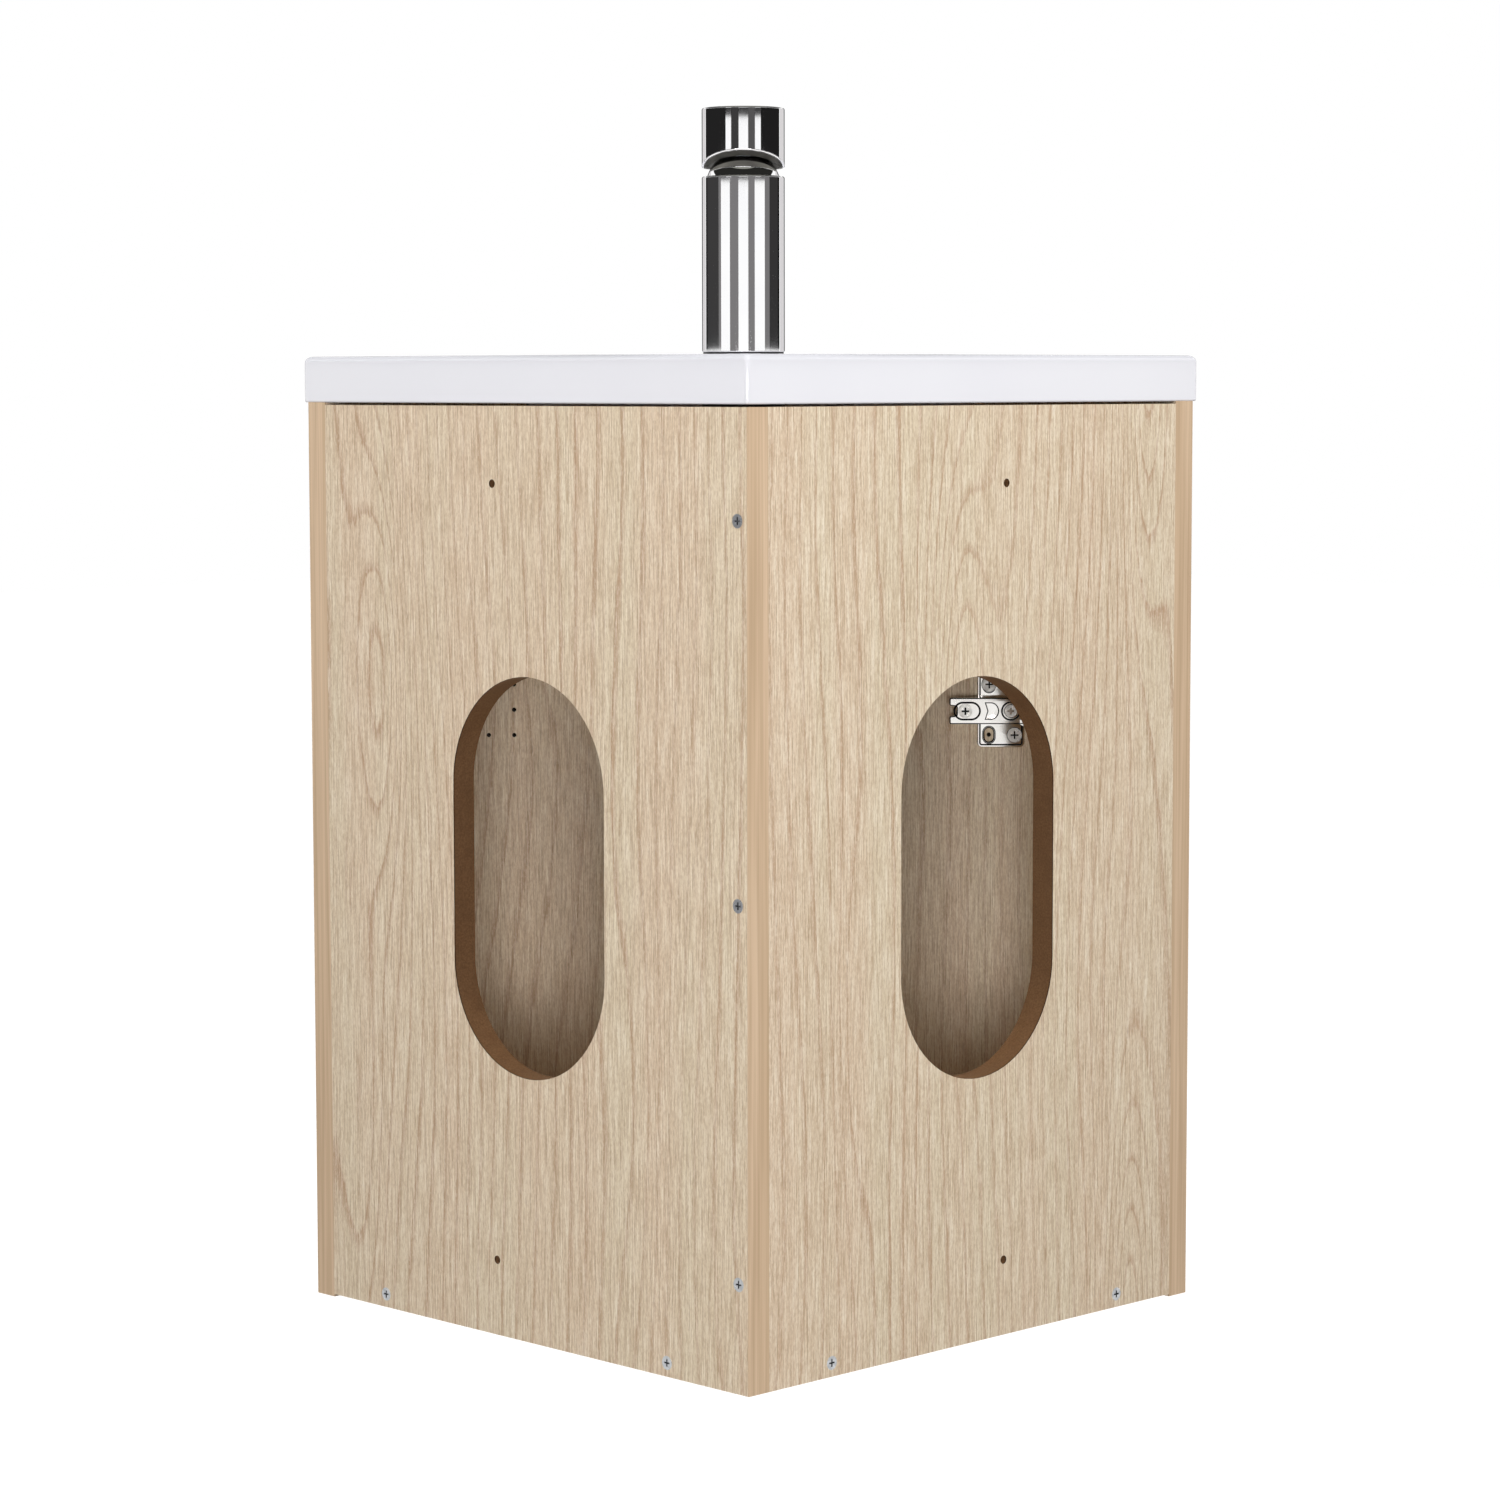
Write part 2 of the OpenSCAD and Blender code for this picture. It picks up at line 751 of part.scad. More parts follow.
// The bowl's inside: a flared lip in the slab and the narrow part below it
module bowl_space() {
    hull() {
        bowl_level(top_z + 0.2, bowl_corner_r, lip_side_u, lip_side_r, 0);
        translate([lip_front_d, 0, top_z + 0.2]) cylinder(r = bowl_front_r, h = sheet_h, $fn = 48);
        bowl_step(bowl_step_z, 0);
    }
    bowl_depths(bowl_step_z + sheet_h, 0);
}

module basin() {
    color([0.95, 0.95, 0.96]) difference() {
        union() {
            hull() for (step = [[0, 0], [1 - cos(30), sin(30)], [1 - cos(60), sin(60)], [1, 1]])
                translate([0, 0, top_z - slab_edge_r + slab_edge_r * step[1] - sheet_h])
                    linear_extrude(height = sheet_h) slab_outline(slab_edge_r * step[0]);
            hull() {
                translate([0, 0, slab_z]) linear_extrude(height = sheet_h) slab_outline(0.6);
                translate([0, 0, slab_z + 1]) linear_extrude(height = slab_t - slab_edge_r - 1)
                    slab_outline(0);
            }
            diagonal() bowl_depths(slab_z + 1, bowl_wall);
        }
        diagonal() bowl_space();
        diagonal() translate([waste_at, 0, bowl_z - 20]) cylinder(r = waste_hole_d / 2, h = 30);
        diagonal() translate([tap_at, 0, slab_z - 1]) cylinder(r = tap_hole_d / 2, h = slab_t + 2);
    }
}

module at_waste() {
    diagonal() translate([waste_at, 0, 0]) children();
}

// Dished flange with a ring of slots round the screw
module waste_flange() {
    flange_r = waste_flange_d / 2;
    color([0.85, 0.86, 0.88]) at_waste() difference() {
        translate([0, 0, bowl_z]) union() {
            cylinder(r1 = flange_r, r2 = flange_r - 1.2, h = 2);
            translate([0, 0, -3]) cylinder(r = waste_r - 0.1, h = 3);
        }
        for (a = [0 : 45 : 315]) rotate(a) translate([12.5, 0, bowl_z - 4]) cylinder(r = 3.6, h = 8);
        translate([0, 0, bowl_z - 4]) cylinder(r = 3, h = 8);
    }
}

module waste_screw() {
    color([0.75, 0.76, 0.78]) at_waste() difference() {
        union() {
            translate([0, 0, bowl_z + 2]) cylinder(r1 = 5.5, r2 = 4.5, h = 1.6);
            translate([0, 0, bowl_z - 20]) cylinder(r = 3, h = 22);
        }
        translate([-4, -0.6, bowl_z + 2.6]) cube([8, 1.2, 2]);
    }
}

module waste_body() {
    color([0.85, 0.86, 0.88]) at_waste() {
        tube(waste_r, waste_r - 3, waste_end, bowl_z - 3);
        difference() {
            union() {
                tube(6, 3, bowl_z - 20, bowl_z - 12);
                for (a = [0, 90]) rotate(a) difference() {
                    translate([-waste_r + 1, -1.5, bowl_z - 20]) cube([2 * waste_r - 2, 3, 8]);
                    translate([0, 0, bowl_z - 30]) cylinder(r = 4, h = 30);
                }
            }
            translate([0, 0, bowl_z - 30]) cylinder(r = 3, h = 30);
        }
    }
}

module waste_washer() {
    color([0.15, 0.15, 0.15]) at_waste() tube(waste_r + 10, waste_r, bowl_z - boss_t - 4, bowl_z - boss_t);
}

module waste_nut() {
    color([0.85, 0.86, 0.88]) at_waste() difference() {
        translate([0, 0, bowl_z - boss_t - 13]) cylinder(r = waste_r + 11, h = 9, $fn = 6);
        translate([0, 0, bowl_z - boss_t - 20]) cylinder(r = waste_r, h = 30);
    }
}

module trap_inlet_pipe() {
    color([0.93, 0.93, 0.93]) at_waste() {
        tube(drain_r, drain_r - drain_wall, trap_low + 14, waste_end);
        tube(waste_r, drain_r, waste_end - 4, waste_end);
    }
}

module trap_inlet_nut() {
    color([0.93, 0.93, 0.93]) at_waste() {
        tube(waste_r + 4, waste_r, waste_end - 4, waste_end + 14);
        tube(waste_r + 4, drain_r + fit_gap, waste_end - 7, waste_end - 4);
    }
}

module trap_body() {
    outlet_len = 17;
    color([0.93, 0.93, 0.93]) at_waste() difference() {
        union() {
            tube(trap_r, trap_r - 3, trap_low, trap_top - 3);
            tube(trap_r, drain_r, trap_top - 3, trap_top);
            tube(drain_r + 5, drain_r, trap_top, trap_top + 8);
            translate([-trap_r - outlet_len, 0, trap_out_z]) difference() {
                rod_x(drain_r + 3, outlet_len + trap_r / 2);
                translate([-1, 0, 0]) rod_x(push_r + 0.1, outlet_len + trap_r);
            }
        }
        translate([0, 0, trap_low - 1]) cylinder(r = trap_r - 3, h = trap_top - 3 - trap_low + 1);
        translate([-trap_r - 3, 0, trap_out_z]) rod_x(push_r + 0.1, trap_r);
    }
}

module trap_cup() {
    color([0.93, 0.93, 0.93]) at_waste() difference() {
        union() {
            translate([0, 0, cup_low]) cylinder(r = trap_r - 3 - fit_gap, h = trap_low - cup_low + 12);
            translate([0, 0, trap_low - 8]) cylinder(r = trap_r + 1, h = 6);
        }
        translate([0, 0, cup_low + 3]) cylinder(r = trap_r - 6, h = trap_low - cup_low + 20);
    }
}

module trap_cup_seal() {
    color([0.15, 0.15, 0.15]) at_waste() tube(trap_r, trap_r - 3 - fit_gap, trap_low - 2, trap_low);
}

module trap_outlet_nut() {
    color([0.93, 0.93, 0.93]) at_waste() translate([-trap_r - 23, 0, trap_out_z]) difference() {
        union() {
            rod_x(drain_r + 6, 14);
            for (a = [0 : 30 : 330]) rotate([a, 0, 0]) translate([0, -1.5, drain_r + 5]) cube([14, 3, 2]);
        }
        translate([6, 0, 0]) rod_x(drain_r + 3, 20);
        translate([-1, 0, 0]) rod_x(drain_r + 0.2, 20);
    }
}

// The pipe's free end is full size; the end inside the nut is turned down to push into the trap
module trap_outlet_pipe() {
    free_len = waste_at - trap_r - 25 - outlet_end;
    color([0.93, 0.93, 0.93]) diagonal() translate([outlet_end, 0, trap_out_z]) difference() {
        union() {
            rod_x(drain_r, free_len);
            rod_x(push_r, free_len + 21);
        }
        translate([-1, 0, 0]) rod_x(drain_r - drain_wall, waste_at);
    }
}

module tap_gasket() {
    color([0.12, 0.12, 0.12]) at_tap() tube(tap_r - 0.6, 14, top_z, body_z);
}

// Upright body with the spout in one casting, bored for the cartridge and the waterway
module tap_body() {
    color([0.86, 0.87, 0.89]) at_tap() difference() {
        union() {
            translate([0, 0, body_z]) cylinder(r = tap_r, h = tap_body_h, $fn = 96);
            hull() {
                translate([8, 0, spout_z]) cylinder(r = 15, h = 24);
                translate([spout_reach - 13, 0, spout_z + 8]) cylinder(r = 13, h = 15);
            }
        }
        translate([0, 0, cart_z]) cylinder(r = cart_r + 0.1, h = 60);
        translate([0, 0, body_z - 1]) cylinder(r = 14, h = 12);
        for (s = [-1, 1]) translate([0, s * 7, body_z]) cylinder(r = 3.5, h = cart_z - body_z + 1);
        translate([0, 0, spout_z + 15.5]) rod_x(5, spout_reach - 13);
        translate([spout_reach - 13, 0, spout_z]) cylinder(r = 9, h = 15.5);
    }
}

module tap_aerator() {
    color([0.8, 0.81, 0.83]) at_tap() translate([spout_reach - 13, 0, spout_z + 5]) difference() {
        cylinder(r = 9, h = 9);
        translate([0, 0, -1]) cylinder(r = 7, h = 4);
        for (a = [0 : 60 : 300]) rotate(a) translate([4, 0, -1]) cylinder(r = 1.2, h = 12);
    }
}

module tap_cartridge() {
    color([0.3, 0.32, 0.35]) at_tap() difference() {
        translate([0, 0, cart_z]) cylinder(r = cart_r, h = dome_z - cart_z - 1);
        translate([0, 0, dome_z - 15]) cylinder(r = 12.05, h = 20);
        translate([0, 0, cart_z - 1]) cylinder(r = 4, h = 6);
    }
}

// Chrome cap screwed over the cartridge; its ball shape clears the tilting head
module tap_dome() {
    color([0.86, 0.87, 0.89]) at_tap() difference() {
        union() {
            intersection() {
                translate([0, 0, dome_z]) sphere(r = dome_r - 1.6, $fn = 96);
                translate([0, 0, body_top]) cylinder(r = tap_r, h = 40);
            }
            translate([0, 0, dome_z - 1]) cylinder(r = cart_r, h = body_top - dome_z + 1);
        }
        translate([0, 0, dome_z - 2]) cylinder(r = 12.4, h = 60);
    }
}

// Turning part in the cartridge, slotted for the lever's stem
module tap_rotor() {
    color([0.85, 0.85, 0.85]) at_tap() difference() {
        translate([0, 0, dome_z - 15]) cylinder(r = 12, h = 25);
        translate([-13, -stem_w / 2 - fit_gap, dome_z - 8]) cube([26, stem_w + 2 * fit_gap, 40]);
        translate([0, -20, lever_pivot_z]) rod_y(1.5, 40);
    }
}

module tap_lever_pin() {
    color([0.7, 0.7, 0.72]) at_tap() translate([0, -11, lever_pivot_z]) rod_y(1.5, 22);
}

// Head, stem and lever; the rear of the head's lower edge is cut back so that it clears the body when lifted
module tap_lever() {
    color([0.86, 0.87, 0.89]) at_tap() {
        difference() {
            union() {
                translate([0, 0, head_z]) cylinder(r = tap_r, h = head_h - 2, $fn = 96);
                translate([0, 0, head_top - 2]) cylinder(r1 = tap_r, r2 = tap_r - 2, h = 2, $fn = 96);
                hull() {
                    translate([8, 0, head_top - 13]) cylinder(r = 9, h = 9);
                    translate([lever_reach - 6, 0, head_top - 8]) cylinder(r = 6, h = 6);
                }
            }
            translate([0, 0, dome_z]) sphere(r = dome_r + 0.4, $fn = 96);
            translate([0, 0, head_z - 40]) rotate([0, lever_lift + 2, 0]) translate([-60, -40, 0])
                cube([60, 80, 40]);
            translate([tap_r - 9, 0, head_z + 13]) rod_x(2.5, 20);
        }
        difference() {
            translate([-stem_w / 2, -stem_w / 2, lever_pivot_z - 4])
                cube([stem_w, stem_w, head_z + 16 - lever_pivot_z]);
            translate([0, -20, lever_pivot_z]) rod_y(1.5 + run_gap, 40);
        }
    }
}

module tap_grub_screw() {
    color([0.3, 0.3, 0.32]) at_tap() translate([tap_r - 9, 0, head_z + 13]) difference() {
        rod_x(2.5, 7);
        translate([5, 0, 0]) rotate([0, 90, 0]) cylinder(r = 1.4, h = 3, $fn = 6);
    }
}

module tap_shank() {
    color([0.8, 0.68, 0.35]) at_tap() translate([-8, 0, shank_end])
        cylinder(r = 4, h = body_z + 9 - shank_end);
}

module tap_washer() {
    color([0.15, 0.15, 0.15]) at_tap() translate([0, 0, slab_z - 3]) difference() {
        cylinder(r = 23, h = 3);
        translate([-8, 0, -1]) cylinder(r = 4, h = 5);
        for (s = [-1, 1]) translate([0, s * 7, -1]) cylinder(r = shank_r + 0.5, h = 5);
        translate([0, -12.5, -1]) cube([30, 25, 5]);
    }
}

module tap_nut() {
    color([0.8, 0.68, 0.35]) at_tap() translate([-8, 0, slab_z - 12]) difference() {
        cylinder(r = 8, h = 9, $fn = 6);
        translate([0, 0, -1]) cylinder(r = 4, h = 11);
    }
}

module tap_inlets() {
    color([0.8, 0.68, 0.35]) at_tap() for (y = [-7, 7]) translate([2, y, 0]) difference() {
        union() {
            translate([0, 0, shank_end]) cylinder(d = inlet_d, h = inlet_len);
            translate([0, 0, shank_end]) cylinder(r = shank_r - 0.2, h = body_z + 8 - shank_end);
        }
        translate([0, 0, shank_end - 1]) cylinder(r = 3, h = 200);
    }
}

back_panel_left();
back_panel_right();
side_panel_left();
side_panel_right();
bottom_panel();
front_rail();
edge_bands();
corner_screws();
bottom_screws();
dowels();
cam_bolts();
cam_locks();
door_panel();
door_buffers();
door_handle();
handle_screws();
upper_hinge_cup();
lower_hinge_cup();
cup_screws();
cup_pins();
upper_hinge_link();
lower_hinge_link();
upper_hinge_arm();
lower_hinge_arm();
arm_pins();
upper_hinge_plate();
lower_hinge_plate();
plate_screws();
arm_fixing_screws();
arm_adjusting_screws();
basin();
waste_flange();
waste_screw();
waste_body();
waste_washer();
waste_nut();
trap_inlet_pipe();
trap_inlet_nut();
trap_body();
trap_cup();
trap_cup_seal();
trap_outlet_nut();
trap_outlet_pipe();
tap_gasket();
tap_body();
tap_aerator();
tap_cartridge();
tap_dome();
tap_rotor();
tap_lever_pin();
tap_lever();
tap_grub_screw();
tap_shank();
tap_washer();
tap_nut();
tap_inlets();
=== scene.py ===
"""Looks of the corner hand basin unit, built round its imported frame. Lengths are in metres."""
import json
import math

import bmesh
import bpy
from mathutils import Matrix, Vector


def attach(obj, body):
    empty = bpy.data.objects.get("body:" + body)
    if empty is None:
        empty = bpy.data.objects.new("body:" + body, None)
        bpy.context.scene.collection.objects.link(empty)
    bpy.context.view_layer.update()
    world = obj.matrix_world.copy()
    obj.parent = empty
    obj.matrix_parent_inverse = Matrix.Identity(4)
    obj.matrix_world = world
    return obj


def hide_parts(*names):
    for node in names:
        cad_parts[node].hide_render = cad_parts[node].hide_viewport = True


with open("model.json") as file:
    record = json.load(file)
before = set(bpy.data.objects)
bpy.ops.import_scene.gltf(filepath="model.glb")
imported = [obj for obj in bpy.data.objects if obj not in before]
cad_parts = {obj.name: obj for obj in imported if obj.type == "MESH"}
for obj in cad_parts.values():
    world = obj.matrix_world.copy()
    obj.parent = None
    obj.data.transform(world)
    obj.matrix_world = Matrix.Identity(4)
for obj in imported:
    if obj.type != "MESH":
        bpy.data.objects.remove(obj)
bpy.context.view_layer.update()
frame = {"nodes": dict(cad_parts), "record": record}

MM = 0.001
ROOT2 = math.sqrt(2)
QUARTER = math.pi / 4

# Camera, fitted to the photograph: place on the diagonal, aside from it and up, then its aim
IMAGE_W = 1500
SENSOR_MM = 36
CAMERA_D = -2.2297
CAMERA_U = 0.0147
CAMERA_Z = 0.5619
CAMERA_HEADING = math.radians(45.348)
CAMERA_PITCH = math.radians(-5.167)
CAMERA_ROLL = math.radians(-0.085)
CAMERA_FOCAL_PX = 4096.9

# Basin, in millimetres
BASIN_LEN = 385
BASIN_SIDE = 124
BASIN_BULGE = 30
SLAB_Z = 548.5
TOP_Z = 576
BOWL_Z = 482
BOSS_T = 10
BOWL_WALL = 6
SLAB_EDGE_R = 3.6
SLAB_CORNER_R = 3
SLAB_INSET = 0.002  # keeps the skin inside the solid
BOSS_R = 46
BOSS_FACE_R = 44
WASTE_D = 205
WASTE_HOLE_R = 22.5
TAP_D = 62
TAP_HOLE_R = 17.5

# Plan of the bowl: the hulls of these discs are its lip and its step. Place on the diagonal, aside, radius
LIP_DISCS = ((153, 0, 55), (200, 105, 42), (200, -105, 42), (206.9, 0, 136))
STEP_DISCS = ((147, 0, 49), (200, 88, 38), (200, -88, 38), (206.1, 0, 97))

# Tap, in millimetres
TAP_SIDE = 2.5
TAP_R = 23
BODY_Z = 577
BODY_TOP = 674
BODY_HOLE_R = 14
HEAD_Z = 678.5
HEAD_TOP = 711.5
DOME_Z = 668
DOME_R = 20.9
CAVITY_R = 22.9
CEILING_R = 4
CAVITY_STEPS = 7
CARTRIDGE_R = 17.6
CARTRIDGE_DEPTH = 34
CAP_TOP_R = 12.9
CAP_HOLE_R = 12.4
STEM_HALF = 4
LIFT = math.radians(22)

# Spout and lever: place and radius of their two end discs, then heights at the root and at the tip
SPOUT_DISCS = ((8, 15), (99, 13))
SPOUT_BOTTOM = (599, 607)
SPOUT_TOP = (623, 622)
SPOUT_EDGE_R = 2.6
LEVER_DISCS = ((8, 9), (94, 6))
LEVER_BOTTOM = (HEAD_TOP - 13.5, HEAD_TOP - 8)
LEVER_TOP = (HEAD_TOP - 4.2, HEAD_TOP - 2)
LEVER_EDGE_R = 2.0

# Door, handle and hinges, in millimetres. D is along the diagonal, U to the right of it and Z up
BOARD_T = 16
DOOR_D = 341.41
DOOR_HALF = 192
DOOR_HOLES_TOP = 541
HANDLE_SIDE = 162
HANDLE_R = 4.98  # a hair inside the solid
HANDLE_LOW = 400
HANDLE_LEN = 128
HANDLE_END = 20
HANDLE_OFF = 30
POST_R = 4
POST_FLARE_R = 4.6
HINGE_ZS = {"lower": 92, "upper": 355}
ARM_TOP_D = DOOR_D - 14
ARM_END_U = 124.06
ARM_FRONT_U = 171.36
SLOT_U = 149.46
HOLE_U = 165.46
FIX_U = 133.96
TURN_U = 162.46
ARM_HALF = 8.25
ARM_CORNER_R = 1.0
ARM_EDGE_R = 0.7
NOTCH_DEPTH = 4.6
NOTCH_MOUTH_HALF = 3.4
NOTCH_FLOOR_HALF = 2.9
WINDOW_HALF = 4.8
WINDOW_BOW = 4.4
WINDOW_LEFT = SLOT_U - 2.4
WINDOW_POINT = SLOT_U - 0.9
WINDOW_RIGHT = SLOT_U + 0.6
EAR_OFF = 6.775
EAR_HALF_T = 1.475
EAR_HALF_W = 2.5
EAR_END_R = 4
PLATE_T = 2
PLATE_HALF = 24
PLATE_RIGHT = HOLE_U + 6.5
PLATE_LEFT = PLATE_RIGHT - 30
PLATE_CORNER_R = 3.0
PLATE_EDGE_R = 0.8
ROW = 16  # from the middle of the plate to each row of screws
ARM_SCREW_FACE = ARM_TOP_D - 1.8
TURN_SCREW_FACE = ARM_TOP_D - 0.6
PLATE_SCREW_FACE = DOOR_D - PLATE_T - 2.2
ARM_PIVOT = (346, 79.5)  # plan points, as x and y
ARM_ELBOW = (344, 101)

# Edges that are rounded on copies of the nodes, in millimetres
ROUNDED_MM = {"door_panel": 0.7, "side_panel_left": 0.4, "side_panel_right": 0.4}

# Growth rings of the oak. What bends them: place across and up, half width, half height and strength
RINGS_PER_METRE = 68
LEFT_FIGURE = ((0.312, 0.385, 0.024, 0.115, 4.2), (0.335, 0.12, 0.02, 0.12, 2.2),
               (0.09, 0.16, 0.03, 0.16, 1.8))
RIGHT_FIGURE = ((0.172, 0.37, 0.024, 0.125, 4.4), (0.336, 0.62, 0.020, 0.16, 6.5),
                (0.325, -0.06, 0.022, 0.18, 7.5), (0.085, 0.2, 0.016, 0.12, 2.0))
DOOR_FIGURE = ((-0.03, 0.20, 0.04, 0.2, 6.5), (0.075, 0.5, 0.028, 0.14, 3.0),
               (-0.13, 0.46, 0.02, 0.1, 2.4))
SIDE_FIGURE = ((0.05, 0.2, 0.02, 0.18, 3.5),)

# Lamps: place on the diagonal, towards the left wall and up, size, watts
LAMPS = {
    "fill": ((-2.1, 0, 0.2), 0.7, 22),
    "right_key": ((-0.5, -1.2, 2.0), 0.9, 33.0),
    "left_key": ((-0.5, 1.2, 2.0), 0.9, 28.8),
    "front_right": ((1.9, -1.2, 1.3), 1.0, 24),
    "front_left": ((1.9, 1.2, 1.3), 1.0, 24),
}
LAMP_TARGET = (0.15, 0, 0.3)

# World and floor. The floor's glow is FLOOR_GLOW within FLOOR_NEAR of the unit and 1 beyond FLOOR_FAR
WORLD_STRENGTH = 0.27
WORLD_TINT = (0.985, 0.99, 1.0, 1)
FLOOR_Z = -0.274
FLOOR_SIZE = 24
FLOOR_TONES = ((0.13, 0.115, 0.1, 1), (0.15, 0.135, 0.12, 1))
FLOOR_GLOW = 0.93
FLOOR_NEAR = 0.8
FLOOR_FAR = 2.4

# Cards round the tap, in metres: lowest and highest edge of each kind
CARD_RADIUS = 1.5
CARD_STEP = 3
CARD_TINT = (1, 0.97, 0.98, 1)
CARD_HEIGHTS = {
    "body": (0.588, 0.751), "middle": (0.579, 0.751), "neck": (0.7445, 0.751), "head": (0.751, 1.15),
    "crown": (0.805, 0.87), "full": (-0.2, 1.15), "low": (-0.2, 0.577), "side": (-0.2, 0.52),
    "glint": (0.52, 0.577),
}

# First and last angle, kind and glow of each card. Angle 0 is behind the tap, negative angles on its left
CARDS = (
    (-127, -119, "body", 0.006), (-119, -72, "body", 0.045), (-72, -64, "body", 0.2),
    (-37, -13, "middle", 0.2), (14, 32, "middle", 0.2), (62, 78, "body", 0.18),
    (78, 112, "body", 0.035), (112, 120, "body", 0.005), (-127, -49, "head", 0.016),
    (-33, -12, "head", 0.045), (14, 33, "head", 0.09), (50, 120, "head", 0.013),
    (-64, -37, "neck", 0.05), (-13, 14, "neck", 0.05), (32, 62, "neck", 0.05),
    (-49, -33, "crown", 0.03), (-12, 14, "crown", 0.03), (33, 50, "crown", 0.03),
    (-150, -130, "full", 0.68), (123, 150, "full", 0.68), (-174, -153, "full", 0.1),
    (153, 174, "full", 0.1), (-68, -22, "low", 0.02), (22, 68, "low", 0.02),
    (-130, -68, "side", 0.4), (68, 123, "side", 0.4), (-22, 22, "glint", 7.0),
)

# Canopies over the cards, in metres: radius and height of the outer and the inner rim, then the glow
CANOPY_SIDES = 48
CANOPY_TINT = (1, 1, 0.9, 1)
CANOPIES = (((1.5, 1.35), (1.05, 2.2), 0.02), ((1.05, 2.2), (0, 2.35), 0.27))

# Oak boards: heading of the wide side, place in the pattern, axis of the faces, figure
BOARDS = {
    "oak_left_back": (math.pi / 2, 1.3, (1, 0, 0), LEFT_FIGURE),
    "oak_right_back": (0, 4.7, (0, 1, 0), RIGHT_FIGURE),
    "oak_left_side": (0, 7.9, None, SIDE_FIGURE),
    "oak_right_side": (math.pi / 2, 9.4, None, SIDE_FIGURE),
    "oak_bottom": (0, 15.2),
    "oak_rail": (-QUARTER, 17.6),
}

# Metals: two tones, roughness, strength of the grain
METALS = {
    "zinc": ((176, 182, 188), (150, 156, 163), 0.34, 0.15),
    "nickel": ((240, 238, 234), (226, 223, 218), 0.1, 0.03),
    # Painted shade: a dark nickel for the hinges' beads and hole edges, standing in for their shade and
    # dark reflections
    "nickel_painted_shade": ((52, 50, 49), (38, 37, 36), 0.4, 0.05),
    "chrome": ((254, 254, 254), (250, 250, 252), 0.03),
    "raw_cast": ((128, 127, 121), (108, 107, 102), 0.5, 0.1),
    "dark_steel": ((70, 70, 72), (55, 55, 57), 0.4, 0.1),
    "brass": ((214, 182, 108), (196, 162, 88), 0.25, 0.1),
}

# Screw heads: two tones, depth in millimetres at which the recess has its full painted shade, that
# painted-shade tone, face
SCREWS = {
    "back_screw": ((206, 209, 212), (182, 186, 190), 0.8, (134, 135, 137)),
    "arm_screw": ((238, 236, 232), (214, 211, 206), 0.7, (34, 34, 35), ARM_SCREW_FACE),
    "turn_screw": ((238, 236, 232), (214, 211, 206), 0.7, (34, 34, 35), TURN_SCREW_FACE),
    "plate_screw": ((226, 224, 220), (200, 198, 194), 0.8, (34, 34, 35), PLATE_SCREW_FACE),
}

# Plastic, rubber and beech: two tones, roughness, strength and scale of the grain
MOULDED = {
    "white_plastic": ((236, 236, 233), (229, 229, 226), 0.32),
    "black_rubber": ((34, 34, 34), (44, 43, 42), 0.6, 0.2),
    "clear_buffer": ((206, 206, 204), (196, 196, 194), 0.3),
    "dark_plastic": ((72, 76, 82), (64, 68, 74), 0.45),
    "beech": ((214, 182, 136), (200, 166, 120), 0.6, 0.3, 300),
}

# Nodes of each material
NODES = {
    "oak_left_back": "back_panel_left",
    "oak_right_back": "back_panel_right",
    "oak_left_side": "side_panel_left",
    "oak_right_side": "side_panel_right",
    "oak_bottom": "bottom_panel",
    "oak_rail": "front_rail",
    "oak_door": "door_panel",
    "oak_band": "edge_bands",
    "beech": "dowels",
    "zinc": "cam_bolts cam_locks handle_screws cup_screws cup_pins arm_pins tap_lever_pin waste_screw",
    "nickel": "upper_hinge_cup upper_hinge_link upper_hinge_arm upper_hinge_plate "
              "lower_hinge_cup lower_hinge_link lower_hinge_arm lower_hinge_plate",
    "chrome": "door_handle waste_flange waste_body waste_nut tap_body tap_dome tap_lever tap_aerator",
    "dark_steel": "tap_grub_screw",
    "brass": "tap_shank tap_nut tap_inlets",
    "back_screw": "corner_screws bottom_screws",
    "arm_screw": "arm_fixing_screws",
    "turn_screw": "arm_adjusting_screws",
    "plate_screw": "plate_screws",
    "ceramic": "basin",
    "white_plastic": "trap_inlet_pipe trap_inlet_nut trap_body trap_cup trap_outlet_nut trap_outlet_pipe "
                     "tap_rotor",
    "black_rubber": "waste_washer trap_cup_seal tap_gasket tap_washer",
    "clear_buffer": "door_buffers",
    "dark_plastic": "tap_cartridge",
}
MATERIAL_OF = {node: material for material, nodes in NODES.items() for node in nodes.split()}


def diagonal(d, v, z):
    """Point at distance d from the wall corner along the diagonal and v towards the left wall."""
    return Vector(((d - v) / ROOT2, (d + v) / ROOT2, z))


def colour(red, green, blue):
    """Linear RGBA of a colour written in 0 to 255."""
    def linear(value):
        value /= 255
        return value / 12.92 if value <= 0.04045 else ((value + 0.055) / 1.055) ** 2.4
    return (linear(red), linear(green), linear(blue), 1)


